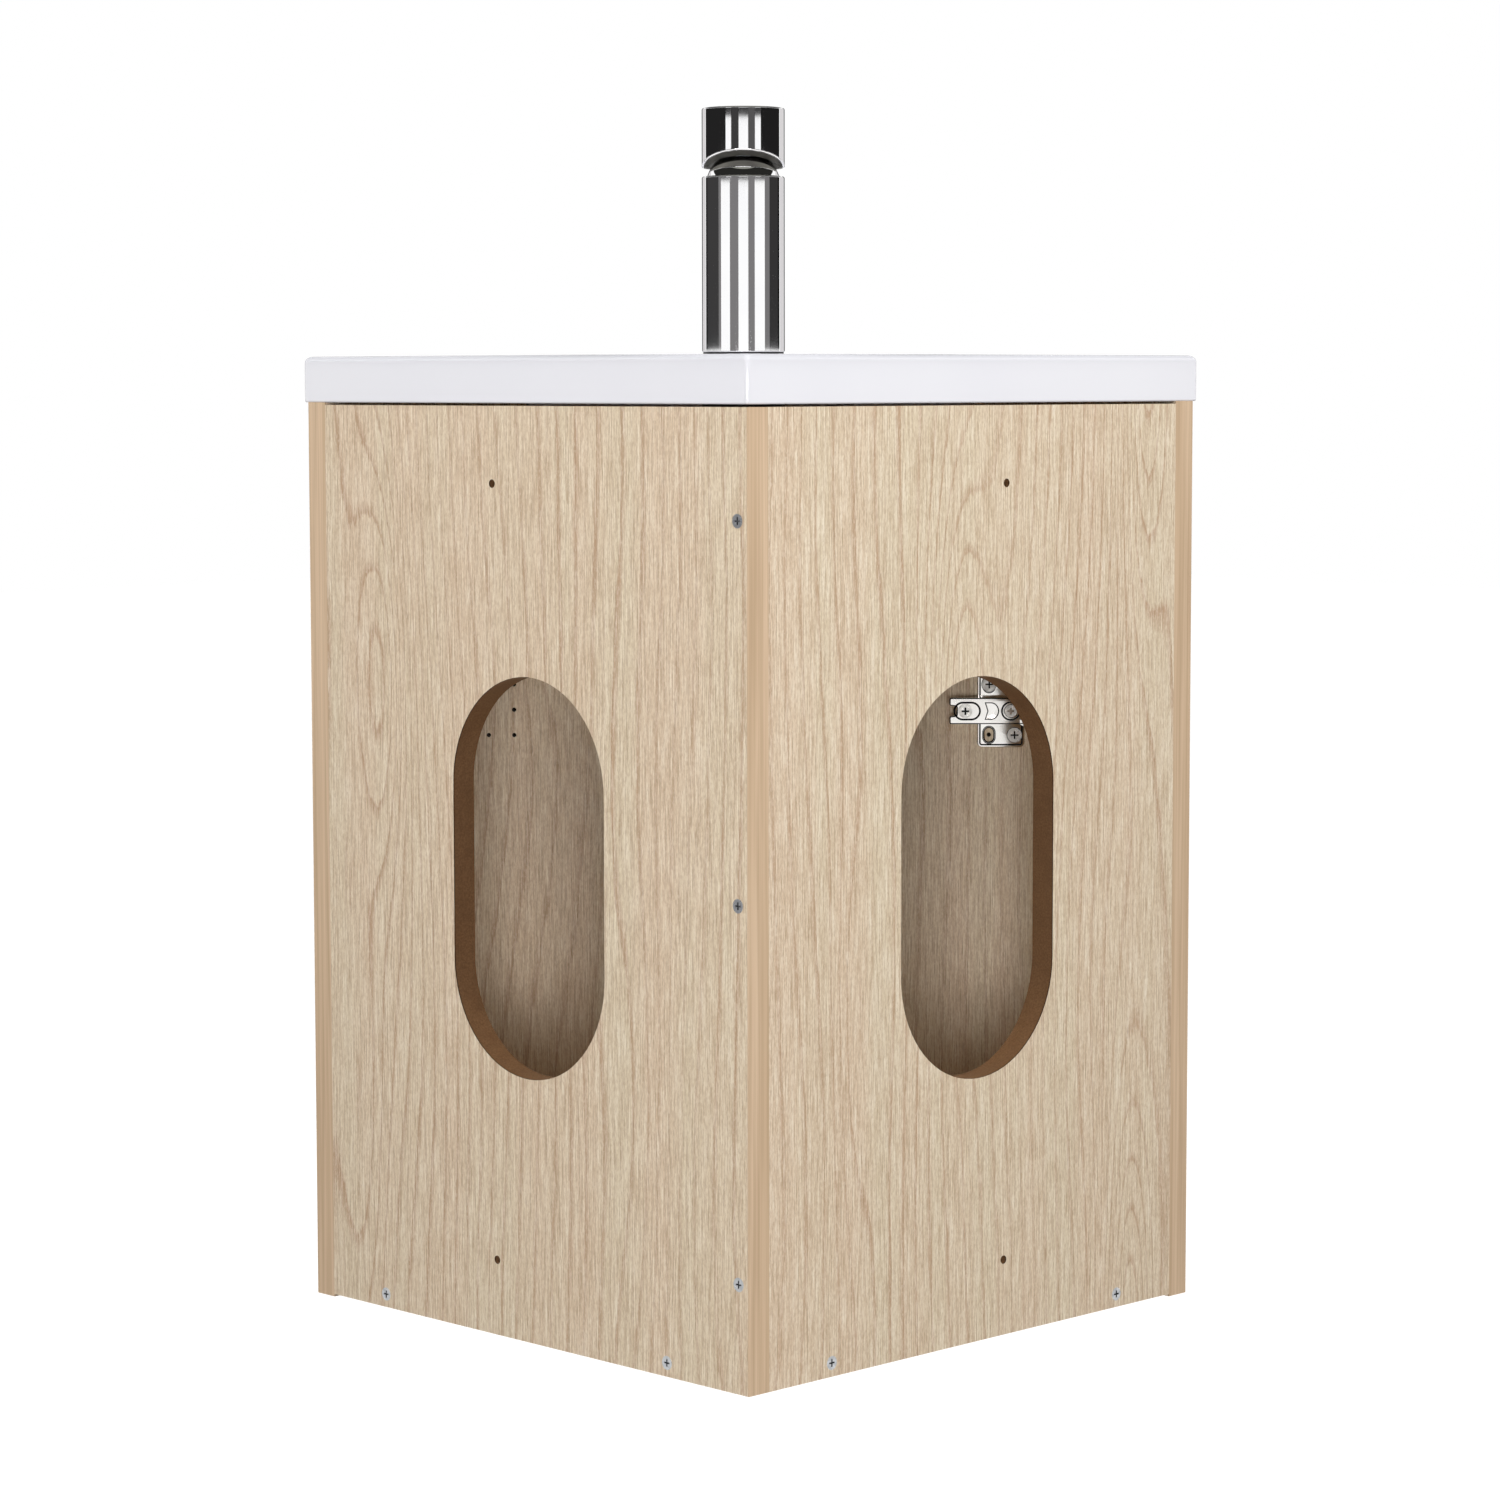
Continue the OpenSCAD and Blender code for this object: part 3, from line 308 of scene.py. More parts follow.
class Shader:
    """One material, and short calls that add nodes to it."""

    def __init__(self, name):
        self.material = bpy.data.materials.new(name)
        self.material.use_nodes = True
        self.tree = self.material.node_tree
        self.tree.nodes.clear()
        self.surface = self.tree.nodes.new("ShaderNodeBsdfPrincipled")
        output = self.tree.nodes.new("ShaderNodeOutputMaterial")
        self.tree.links.new(self.surface.outputs["BSDF"], output.inputs["Surface"])

    def put(self, socket, value):
        """Links a socket to an output, or sets it to a plain value."""
        if isinstance(value, bpy.types.NodeSocket):
            self.tree.links.new(value, socket)
        else:
            socket.default_value = value

    def node(self, kind, settings=None, **inputs):
        """Adds a node. An underscore in the name of an input stands for a space."""
        node = self.tree.nodes.new("ShaderNode" + kind)
        for key, value in (settings or {}).items():
            setattr(node, key, value)
        for key, value in inputs.items():
            self.put(node.inputs[key.replace("_", " ")], value)
        return node

    def set(self, **inputs):
        """Sets or links sockets of the surface shader."""
        for key, value in inputs.items():
            self.put(self.surface.inputs[key.replace("_", " ")], value)

    def coords(self, kind="Object"):
        """Texture coordinates of a kind."""
        return self.node("TexCoord").outputs[kind]

    def mapped(self, vector, scale=(1, 1, 1), turn=0, move=(0, 0, 0)):
        """Coordinates scaled, then turned about the upright axis, then moved."""
        node = self.node("Mapping", Vector=vector, Scale=scale, Rotation=(0, 0, turn), Location=move)
        return node.outputs[0]

    def noise(self, vector, scale=1, detail=2, roughness=0.5):
        """Noise between 0 and 1."""
        node = self.node("TexNoise", Vector=vector, Scale=scale, Detail=detail, Roughness=roughness)
        return node.outputs["Fac"]

    def math(self, kind, first, second=0.0, third=0.0):
        """Result of one operation on up to three numbers."""
        node = self.node("Math", {"operation": kind})
        for socket, value in zip(node.inputs, (first, second, third)):
            self.put(socket, value)
        return node.outputs[0]

    def dot(self, first, second):
        """Dot product of two vectors."""
        node = self.node("VectorMath", {"operation": "DOT_PRODUCT"}, Vector=first)
        self.put(node.inputs[1], second)
        return node.outputs["Value"]

    def axes(self, vector):
        """The x, y and z of a vector."""
        return list(self.node("SeparateXYZ", Vector=vector).outputs)

    def spread(self, value, low, high, out_low=0.0, out_high=1.0):
        """Maps low to high onto out_low to out_high, clamped."""
        node = self.node("MapRange", Value=value, From_Min=low, From_Max=high, To_Min=out_low,
                         To_Max=out_high)
        return node.outputs[0]

    def mix(self, share, first, second):
        """Colour between two, the second where the share is 1."""
        node = self.node("Mix", {"data_type": "RGBA"})
        for socket, value in zip((node.inputs[0], node.inputs[6], node.inputs[7]), (share, first, second)):
            self.put(socket, value)
        return node.outputs[2]

    def bump(self, height, strength, distance):
        """Normal of a fine relief."""
        return self.node("Bump", Height=height, Strength=strength, Distance=distance).outputs[0]


def oak_figure(shader, place, bumps):
    """Growth rings across a board, bent round each of its bumps."""
    field = shader.math("MULTIPLY", shader.axes(place)[0], RINGS_PER_METRE)
    slow = shader.noise(shader.mapped(place, scale=(5.5, 1, 1.3)), detail=1.5, roughness=0.4)
    field = shader.math("MULTIPLY_ADD", slow, 9.0, field)
    for x, z, half_x, half_z, height in bumps:
        offset = shader.mapped(place, scale=(1 / half_x, 0, 1 / half_z),
                               move=(-x / half_x, 0, -z / half_z))
        bell = shader.math("EXPONENT", shader.math("MULTIPLY", shader.dot(offset, offset), -1.0))
        field = shader.math("MULTIPLY_ADD", bell, height, field)
    tremble = shader.noise(shader.mapped(place, scale=(420, 1, 12)), detail=2, roughness=0.6)
    phase = shader.math("FRACT", shader.math("MULTIPLY_ADD", tremble, 0.3, field))
    rise = shader.spread(phase, 0.74, 0.95)
    return shader.math("MULTIPLY", rise, shader.spread(phase, 0.95, 1.0, 1.0, 0.0))


def oak_pattern(shader, heading, seed, bumps=()):
    """Colour and height of oak foil whose grain runs up, on a board that is wide along heading."""
    place = shader.mapped(shader.coords(), turn=-heading)
    board = shader.mapped(place, move=(seed, seed * 0.37, seed * 0.61))

    def stretched(across, along, **settings):
        return shader.noise(shader.mapped(board, scale=(across, across, along)), **settings)

    ring = oak_figure(shader, place, bumps)
    fibre = stretched(1350, 42, detail=3, roughness=0.66)
    hair = stretched(2000, 95, detail=2, roughness=0.6)
    speck = stretched(1500, 420, detail=2, roughness=0.6)
    streak = stretched(420, 9, detail=3, roughness=0.6)
    patch = stretched(32, 1.4, detail=2)
    region = stretched(8, 1.4, detail=1.5)
    tone = shader.mix(shader.spread(patch, 0.36, 0.64), colour(226, 210, 182), colour(226, 204, 177))
    tone = shader.mix(shader.spread(streak, 0.44, 0.68, 0.0, 0.32), tone, colour(208, 182, 154))
    ring_share = shader.math("MULTIPLY", ring, shader.spread(region, 0.35, 0.62, 0.42, 0.92))
    tone = shader.mix(ring_share, tone, colour(187, 150, 120))
    tone = shader.mix(shader.spread(fibre, 0.52, 0.66, 0.0, 0.74), tone, colour(251, 240, 220))
    tone = shader.mix(shader.spread(fibre, 0.35, 0.48, 0.72, 0.0), tone, colour(182, 155, 126))
    tone = shader.mix(shader.spread(speck, 0.5, 0.68, 0.0, 0.42), tone, colour(192, 166, 138))
    tone = shader.mix(shader.spread(speck, 0.32, 0.5, 0.36, 0.0), tone, colour(246, 233, 212))
    pore_share = shader.math("MULTIPLY", shader.spread(hair, 0.55, 0.68, 0.0, 0.75),
                             shader.spread(shader.math("ADD", ring, streak), 0.45, 1.1, 0.35, 1.0))
    tone = shader.mix(pore_share, tone, colour(166, 138, 111))
    height = shader.math("MULTIPLY_ADD", pore_share, -0.8, shader.math("MULTIPLY", fibre, 0.5))
    return tone, height


def raw_board(shader, place):
    """Colour and height of a milled edge of brown fibreboard, scorched along the rim of its face."""
    coords = shader.coords()
    fine = shader.noise(coords, scale=900, detail=4)
    cloud = shader.noise(coords, scale=60, detail=2)
    tone = shader.mix(shader.spread(fine, 0.3, 0.7), colour(118, 86, 58), colour(142, 106, 74))
    tone = shader.mix(shader.spread(cloud, 0.4, 0.7, 0.0, 0.3), tone, colour(104, 74, 50))
    depth = shader.math("ABSOLUTE", shader.axes(place)[1])
    scorch = shader.spread(depth, 0.4 * MM, 1.1 * MM, 0.85, 0.0)
    return shader.mix(scorch, tone, colour(48, 34, 25)), fine


def finish_oak(shader, tone, height):
    """Gives oak foil its colour, fine relief and dull sheen."""
    shader.set(Base_Color=tone, Normal=shader.bump(height, 0.35, 0.25 * MM), Specular_IOR_Level=0.3)
    shader.set(Roughness=shader.spread(height, -0.4, 0.5, 0.62, 0.5))
    return shader.material


def board_material(name, heading, seed, face=None, bumps=()):
    """Oak foil on the board's faces. Where face, an axis, is given, the other sides are raw board."""
    shader = Shader(name)
    tone, height = oak_pattern(shader, heading, seed, bumps)
    if face:
        raw_tone, raw_height = raw_board(shader, shader.mapped(shader.coords(), turn=-heading))
        along = shader.dot(shader.coords("Normal"), face)
        laminated = shader.spread(shader.math("ABSOLUTE", along), 0.6, 0.8)
        tone = shader.mix(laminated, raw_tone, tone)
        height = shader.math("ADD", shader.math("MULTIPLY", height, laminated),
                             shader.math("MULTIPLY", raw_height, 0.3))
    return finish_oak(shader, tone, height)


def door_material():
    """Oak all round the door, with the walls of its drilled holes painted near black as shade."""
    shader = Shader("oak_door")
    tone, height = oak_pattern(shader, -QUARTER, 12.1, DOOR_FIGURE)
    x, y, z = shader.axes(shader.mapped(shader.coords(), turn=QUARTER))
    near, deep = 0.3 * MM, 0.8 * MM
    low, high, half = DOOR_D * MM, (DOOR_D + BOARD_T) * MM, (DOOR_HALF - 1.2) * MM
    # Painted shade: surfaces inside the board's thickness, away from its faces and outer edges, are the
    # hole walls and turn near black
    depth = shader.math("MULTIPLY", shader.spread(y, low + near, low + deep),
                        shader.spread(y, high - deep, high - near, 1.0, 0.0))
    inner = shader.math("LESS_THAN", shader.math("ABSOLUTE", x), half)
    level = shader.spread(z, DOOR_HOLES_TOP * MM, (DOOR_HOLES_TOP + 1) * MM, 1.0, 0.0)
    hole = shader.math("MULTIPLY", shader.math("MULTIPLY", depth, inner), level)
    hole = shader.math("MULTIPLY", hole, shader.math("GREATER_THAN", z, 0.0))
    return finish_oak(shader, shader.mix(hole, tone, colour(40, 28, 20)), height)


def band_material():
    """Edge band, a warmer, plainer oak print."""
    shader = Shader("oak_band")
    coords = shader.coords()
    fibre = shader.noise(shader.mapped(coords, scale=(420, 420, 6)), detail=3)
    streak = shader.noise(shader.mapped(coords, scale=(90, 90, 1.5)), detail=2)
    tone = shader.mix(shader.spread(streak, 0.35, 0.65), colour(225, 198, 168), colour(206, 178, 146))
    tone = shader.mix(shader.spread(fibre, 0.4, 0.66, 0.0, 0.7), tone, colour(189, 161, 130))
    shader.set(Base_Color=tone, Normal=shader.bump(fibre, 0.25, 0.2 * MM), Specular_IOR_Level=0.35)
    shader.set(Roughness=shader.spread(fibre, 0.3, 0.7, 0.48, 0.58))
    return shader.material


def metal_material(name, base, dark, roughness, grain=0.0):
    """Metal with faint handling marks. The grain is the strength of its surface texture."""
    shader = Shader(name)
    coords = shader.coords()
    cloud = shader.noise(coords, scale=45, detail=3)
    tone = shader.mix(shader.spread(cloud, 0.35, 0.75), colour(*base), colour(*dark))
    shader.set(Metallic=1.0, Base_Color=tone)
    shader.set(Roughness=shader.spread(cloud, 0.3, 0.7, roughness * 0.75, roughness * 1.3))
    if grain:
        fine = shader.noise(coords, scale=700, detail=3)
        shader.set(Normal=shader.bump(fine, grain, 0.1 * MM))
    return shader.material


def screw_material(name, base, dark, reach, recess_shade, face=None):
    """Plated screw head, bright on its face, which is at d = face, or on a wall where that is left out,
    with painted shade deepening into its recess.
    """
    shader = Shader(name)
    coords = shader.coords()
    x, y, _ = shader.axes(coords)
    if face is None:
        depth = shader.math("MINIMUM", x, y)
    else:
        depth = shader.math("MULTIPLY", shader.math("ADD", x, y), 1 / ROOT2)
        depth = shader.math("SUBTRACT", depth, face * MM)
    cloud = shader.noise(coords, scale=420, detail=3)
    plate = shader.mix(shader.spread(cloud, 0.35, 0.7), colour(*base), colour(*dark))
    # Painted shade: the plated tone darkens with depth into the head's recess
    tone = shader.mix(shader.spread(depth, 0.15 * MM, reach * MM), plate, colour(*recess_shade))
    shader.set(Metallic=1.0, Base_Color=tone, Roughness=shader.spread(cloud, 0.3, 0.7, 0.24, 0.4))
    shader.set(Normal=shader.bump(cloud, 0.15, 0.1 * MM))
    return shader.material


def ceramic_material():
    """White glaze with a slow ripple, greyed as painted shade where the surface faces up."""
    shader = Shader("ceramic")
    coords = shader.coords()
    ripple = shader.noise(coords, scale=14, detail=1)
    cloud = shader.noise(coords, scale=6, detail=2)
    glaze = shader.mix(shader.spread(cloud, 0.3, 0.7), colour(238, 238, 243), colour(234, 234, 240))
    # Painted shade: the glaze turns grey where the surface faces up, so the basin's top renders darker than
    # its sides
    upward = shader.axes(shader.coords("Normal"))[2]
    glaze = shader.mix(shader.spread(upward, 0.1, 0.7), glaze, colour(206, 206, 211))
    shader.set(Base_Color=glaze)
    shader.set(Roughness=shader.spread(ripple, 0.3, 0.7, 0.07, 0.12), Specular_IOR_Level=0.5)
    shader.set(Coat_Weight=0.4, Coat_Roughness=0.04, Normal=shader.bump(ripple, 0.05, MM))
    return shader.material


def moulded_material(name, base, shade, roughness, grain=0.1, scale=900):
    """Plastic or rubber with a fine moulded grain."""
    shader = Shader(name)
    coords = shader.coords()
    fine = shader.noise(coords, scale=scale, detail=2)
    cloud = shader.noise(coords, scale=30, detail=2)
    shader.set(Base_Color=shader.mix(shader.spread(cloud, 0.3, 0.7), colour(*base), colour(*shade)))
    shader.set(Roughness=shader.spread(cloud, 0.3, 0.7, roughness * 0.85, roughness * 1.15))
    shader.set(Normal=shader.bump(fine, grain, 0.1 * MM))
    return shader.material


def make_materials():
    """Materials by name."""
    made = {"oak_door": door_material(), "oak_band": band_material(), "ceramic": ceramic_material()}
    for table, make in ((BOARDS, board_material), (METALS, metal_material), (SCREWS, screw_material),
                        (MOULDED, moulded_material)):
        for name, values in table.items():
            made[name] = make(name, *values)
    return made


MATERIALS = make_materials()


def dress(piece, node):
    """Gives a piece the material of a node, and no other."""
    piece.data.materials.clear()
    piece.data.materials.append(MATERIALS[MATERIAL_OF[node]])


def body_of(node):
    """Name of the body that carries a node."""
    return next(body for body, nodes in frame["record"]["behaviour"]["bodies"].items() if node in nodes)


def add_object(name, data):
    """A new object in the scene."""
    piece = bpy.data.objects.new(name, data)
    bpy.context.scene.collection.objects.link(piece)
    return piece


def rounded(name, radius_mm):
    """A copy of a node with its sharp edges rounded, which stands for the node."""
    node = frame["nodes"][name]
    mesh = node.data.copy()
    piece = add_object("soft_edged_" + name, mesh)
    shape = bmesh.new()
    shape.from_mesh(mesh)
    bmesh.ops.remove_doubles(shape, verts=shape.verts, dist=1e-6)
    flat = math.radians(0.5)
    bmesh.ops.dissolve_limit(shape, angle_limit=flat, verts=shape.verts, edges=shape.edges)
    shape.to_mesh(mesh)
    shape.free()
    mesh.shade_smooth()
    bevel = piece.modifiers.new("edges", "BEVEL")
    bevel.width = radius_mm * MM
    bevel.segments = 2
    bevel.limit_method = "ANGLE"
    bevel.angle_limit = math.radians(30)
    bevel.harden_normals = True
    bevel.use_clamp_overlap = True
    dress(piece, name)
    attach(piece, body_of(name))
    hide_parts(name)


def add_camera():
    """The camera at the photograph's place."""
    forward = Vector((math.cos(CAMERA_HEADING) * math.cos(CAMERA_PITCH),
                      math.sin(CAMERA_HEADING) * math.cos(CAMERA_PITCH), math.sin(CAMERA_PITCH)))
    level = Vector((math.sin(CAMERA_HEADING), -math.cos(CAMERA_HEADING), 0))
    upright = level.cross(forward)
    right = math.cos(CAMERA_ROLL) * level + math.sin(CAMERA_ROLL) * upright
    up = math.cos(CAMERA_ROLL) * upright - math.sin(CAMERA_ROLL) * level
    data = bpy.data.cameras.new("camera")
    data.sensor_width = SENSOR_MM
    data.lens = CAMERA_FOCAL_PX / IMAGE_W * SENSOR_MM
    camera = add_object("camera", data)
    turn = Matrix((right, up, -forward)).transposed().to_4x4()
    camera.matrix_world = Matrix.Translation(diagonal(CAMERA_D, -CAMERA_U, CAMERA_Z)) @ turn
    bpy.context.scene.camera = camera


def seen_share(tree):
    """A factor that is 1 for camera, mirror and see-through rays."""
    path = tree.nodes.new("ShaderNodeLightPath")
    total = path.outputs["Is Camera Ray"]
    for name in ("Is Glossy Ray", "Is Transmission Ray"):
        add = tree.nodes.new("ShaderNodeMath")
        add.operation = "MAXIMUM"
        tree.links.new(total, add.inputs[0])
        tree.links.new(path.outputs[name], add.inputs[1])
        total = add.outputs[0]
    return total


def add_world():
    """A world that lights softly and is seen as white."""
    world = bpy.data.worlds.new("studio")
    world.use_nodes = True
    tree = world.node_tree
    tree.nodes.clear()
    output = tree.nodes.new("ShaderNodeOutputWorld")
    lit = tree.nodes.new("ShaderNodeBackground")
    lit.inputs["Color"].default_value = WORLD_TINT
    lit.inputs["Strength"].default_value = WORLD_STRENGTH
    white = tree.nodes.new("ShaderNodeBackground")
    white.inputs["Color"].default_value = (1, 1, 1, 1)
    mix = tree.nodes.new("ShaderNodeMixShader")
    tree.links.new(seen_share(tree), mix.inputs[0])
    tree.links.new(lit.outputs[0], mix.inputs[1])
    tree.links.new(white.outputs[0], mix.inputs[2])
    tree.links.new(mix.outputs[0], output.inputs["Surface"])
    bpy.context.scene.world = world


def stage_piece(name, corners, faces, material):
    """A mesh that isn't part of the object."""
    mesh = bpy.data.meshes.new(name)
    mesh.from_pydata(corners, [], faces)
    mesh.materials.append(material)
    piece = add_object(name, mesh)
    return piece


def add_floor():
    """A pale floor that turns white away from the unit, and keeps the object's shadow near it."""
    shader = Shader("floor")
    speckle = shader.noise(shader.coords(), scale=40, detail=2)
    seen = seen_share(shader.tree)
    lit = shader.mix(speckle, *FLOOR_TONES)
    shader.set(Base_Color=lit, Roughness=0.9, Specular_IOR_Level=0.0, Emission_Color=(1, 1, 1, 1))
    reach = shader.node("VectorMath", {"operation": "LENGTH"}, Vector=shader.coords()).outputs["Value"]
    glow = shader.spread(reach, FLOOR_NEAR, FLOOR_FAR, FLOOR_GLOW, 1.0)
    shader.set(Emission_Strength=shader.math("MULTIPLY", seen, glow))
    half = FLOOR_SIZE / 2
    corners = [(x, y, FLOOR_Z) for x, y in ((-half, -half), (half, -half), (half, half), (-half, half))]
    stage_piece("floor", corners, [(0, 1, 2, 3)], shader.material)


def add_lamp(name, place, size, watts):
    """A square lamp that mirrors don't show, aimed at the middle of the unit."""
    data = bpy.data.lights.new(name, "AREA")
    data.shape = "SQUARE"
    data.size = size
    data.energy = watts
    lamp = add_object(name, data)
    aim = (diagonal(*LAMP_TARGET) - place).to_track_quat("-Z", "Y").to_matrix().to_4x4()
    lamp.matrix_world = Matrix.Translation(place) @ aim
    lamp.visible_glossy = False


def add_lamps():
    """Soft lamps on both sides of the wall corner, and two for the door's side."""
    for name, (place, size, watts) in LAMPS.items():
        add_lamp(name, diagonal(*place), size, watts)


def full_turn(count):
    """Equal steps of one turn."""
    return [math.tau * k / count for k in range(count)]


def around(x, y, radius, angle):
    """Point on a circle about x, y."""
    return x + radius * math.cos(angle), y + radius * math.sin(angle)


def quarter_turn(count):
    """Equal steps from 0 to a right angle, both included."""
    return [math.pi / 2 * k / count for k in range(count + 1)]


def add_card(name, corners, faces, tint, glow):
    """A glowing sheet that only reflections show."""
    shader = Shader(name)
    shader.set(Base_Color=(0, 0, 0, 1), Specular_IOR_Level=0.0, Emission_Color=tint)
    shader.set(Emission_Strength=glow)
    card = stage_piece(name, corners, faces, shader.material)
    for ray in ("camera", "diffuse", "shadow", "transmission"):
        setattr(card, "visible_" + ray, False)


def add_cards():
    """Upright curved cards round the tap, and the canopies over them."""
    tap = diagonal(TAP_D * MM, TAP_SIDE * MM, 0)
    for index, (first, last, kind, glow) in enumerate(CARDS):
        count = max(2, round((last - first) / CARD_STEP))
        corners = []
        for k in range(count + 1):
            angle = math.radians(first + (last - first) * k / count)
            side = diagonal(-math.cos(angle) * CARD_RADIUS, -math.sin(angle) * CARD_RADIUS, 0)
            corners += [tap + side + Vector((0, 0, z)) for z in CARD_HEIGHTS[kind]]
        faces = [(2 * k, 2 * k + 2, 2 * k + 3, 2 * k + 1) for k in range(count)]
        add_card(f"card_{index}", corners, faces, CARD_TINT, glow)
    count = CANOPY_SIDES
    for index, (outer, inner, glow) in enumerate(CANOPIES):
        corners = [tap + Vector((*around(0, 0, r, a), z))
                   for r, z in (outer, inner) for a in full_turn(count)]
        faces = [(k, (k + 1) % count, count + (k + 1) % count, count + k) for k in range(count)]
        add_card(f"canopy_{index}", corners, faces, CANOPY_TINT, glow)


def shape_piece(name, shape, materials, body, slot, *nodes):
    """Turns a bmesh into a smooth piece that rides on a body and stands for the nodes, if any."""
    bmesh.ops.recalc_face_normals(shape, faces=shape.faces)
    mesh = bpy.data.meshes.new(name)
    shape.to_mesh(mesh)
    shape.free()
    mesh.shade_smooth()
    mesh.set_sharp_from_angle(angle=math.radians(32))
    for material in materials:
        mesh.materials.append(MATERIALS[material])
    piece = add_object(name, mesh)
    weighted = piece.modifiers.new("normals", "WEIGHTED_NORMAL")
    weighted.keep_sharp = True
    weighted.weight = 100
    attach(piece, body)
    if nodes:
        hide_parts(*nodes)


def new_ring(shape, points):
    """Vertices at points that are given in millimetres."""
    return [shape.verts.new(point * MM) for point in points]


def join_rings(shape, first, second, material=0):
    """Quads between two rings of vertices of the same length."""
    count = len(first)
    for i in range(count):
        j = (i + 1) % count
        shape.faces.new((first[i], first[j], second[j], second[i])).material_index = material


def join_all(shape, rings):
    """Quads between each ring and the next."""
    for lower, upper in zip(rings, rings[1:]):
        join_rings(shape, lower, upper)


def fill_between(shape, *rings):
    """Flat triangles between an outer ring and the rings inside it."""
    edges = []
    for ring in rings:
        for i, vertex in enumerate(ring):
            following = ring[(i + 1) % len(ring)]
            edges.append(shape.edges.get((vertex, following)) or shape.edges.new((vertex, following)))
    bmesh.ops.triangle_fill(shape, use_beauty=True, use_dissolve=False, edges=edges)


def round_corners(points, radius, count=5):
    """The outline with an arc of the radius at each corner that turns by more than 20 degrees."""
    result = []
    for i, point in enumerate(points):
        before = (points[i - 1] - point).normalized()
        after = (points[(i + 1) % len(points)] - point).normalized()
        turn = math.pi - before.angle(after)
        if turn < math.radians(20):
            result.append(point)
            continue
        reach = radius * math.tan(turn / 2)
        middle = point + (before + after).normalized() * (radius / math.cos(turn / 2))
        start = point + before * reach - middle
        end = point + after * reach - middle
        sweep = start.angle_signed(end)
        for k in range(count + 1):
            angle = -sweep * k / count
            result.append(middle + Vector((start.x * math.cos(angle) - start.y * math.sin(angle),
                                           start.x * math.sin(angle) + start.y * math.cos(angle))))
    return result


def slab_outline(inset):
    """Plan of the basin's slab in millimetres, drawn in by inset."""
    chord = (BASIN_LEN + BASIN_SIDE) / ROOT2
    half = (BASIN_LEN - BASIN_SIDE) / ROOT2
    radius = (half * half + BASIN_BULGE * BASIN_BULGE) / (2 * BASIN_BULGE)
    centre = (chord + BASIN_BULGE - radius) / ROOT2
    far = BASIN_LEN - inset
    reach = radius - inset
    low = centre + math.sqrt(reach * reach - (far - centre) ** 2)
    first = math.atan2(low - centre, far - centre)
    last = math.pi / 2 - first
    steps = 26
    angles = [first + (last - first) * k / steps for k in range(steps + 1)]
    arc = [Vector(around(centre, centre, reach, a)) for a in angles]
    square = [Vector((inset, far)), Vector((inset, inset)), Vector((far, inset))]
    return round_corners(square + arc, SLAB_CORNER_R)


def disc_hull(discs):
    """Outline of the hull of discs, as seen from the waste, in the diagonal's frame."""
    points = sorted({(d + radius * math.cos(a) - WASTE_D, v + radius * math.sin(a))
                     for d, v, radius in discs for a in full_turn(120)})
    hull = []
    for ordered in (points, points[::-1]):
        half = []
        for point in ordered:
            while len(half) > 1 and ((half[-1][0] - half[-2][0]) * (point[1] - half[-2][1])
                                     <= (half[-1][1] - half[-2][1]) * (point[0] - half[-2][0])):
                half.pop()
            half.append(point)
        hull += half[:-1]
    return hull


def ray_reach(hull, angle):
    """Distance from the waste to the hull in one direction."""
    c, s = math.cos(angle), math.sin(angle)
    for (ax, ay), (bx, by) in zip(hull, hull[1:] + hull[:1]):
        side_a = c * ay - s * ax
        side_b = c * by - s * bx
        if side_a <= 0 < side_b:
            share = side_a / (side_a - side_b)
            return c * (ax + (bx - ax) * share) + s * (ay + (by - ay) * share)
    raise ValueError("the waste lies outside the bowl")


def spline(points, steps):
    """Uniform cubic curve guided by points, from the first of them to the last."""
    guide = [points[0], points[0]] + list(points) + [points[-1], points[-1]]
    curve = []
    spans = len(guide) - 3
    for k in range(steps + 1):
        place = min(k / steps * spans, spans - 1e-9)
        i = int(place)
        t = place - i
        weights = ((1 - t) ** 3 / 6, (3 * t ** 3 - 6 * t * t + 4) / 6,
                   (-3 * t ** 3 + 3 * t * t + 3 * t + 1) / 6, t ** 3 / 6)
        curve.append(tuple(sum(w * p[axis] for w, p in zip(weights, guide[i:i + 4])) for axis in (0, 1)))
    return curve


def bowl_inside(lip, step, angle):
    """Section of the bowl in one direction, as radius and height, from its lip to the waste."""
    edge, narrow = ray_reach(lip, angle), ray_reach(step, angle)
    return spline(((edge + 3, TOP_Z), (edge + 1.5, TOP_Z), (edge - 1, TOP_Z - 1), (edge - 4, TOP_Z - 7),
                   (narrow + 1, TOP_Z - 23), (narrow * 0.86 + 10, BOWL_Z + 42), (88, BOWL_Z + 15),
                   (70, BOWL_Z + 2.5), (52, BOWL_Z), (38, BOWL_Z), (WASTE_HOLE_R, BOWL_Z)), 30)


def bowl_outside(step, angle):
    """Section of the bowl's underside in one direction, from the slab to the waste's boss."""
    widest = ray_reach(step, angle) + BOWL_WALL
    bottom = BOWL_Z - BOSS_T
    profile = []
    for k in range(13):
        share = k / 12
        profile.append((BOSS_R + (widest - BOSS_R) * (1 - share ** 2.2),
                        SLAB_Z - (SLAB_Z - bottom) * share))
    return profile + [(BOSS_FACE_R, bottom), (WASTE_HOLE_R, bottom)]


def bowl_rings(shape, section):
    """Joined rings round the waste, from the section in each direction."""
    angles = full_turn(144)
    rings = []
    for level in zip(*[section(angle) for angle in angles]):
        rings.append(new_ring(shape, [diagonal(*around(WASTE_D, 0, r, a), z)
                                      for a, (r, z) in zip(angles, level)]))
    join_all(shape, rings)
    return rings


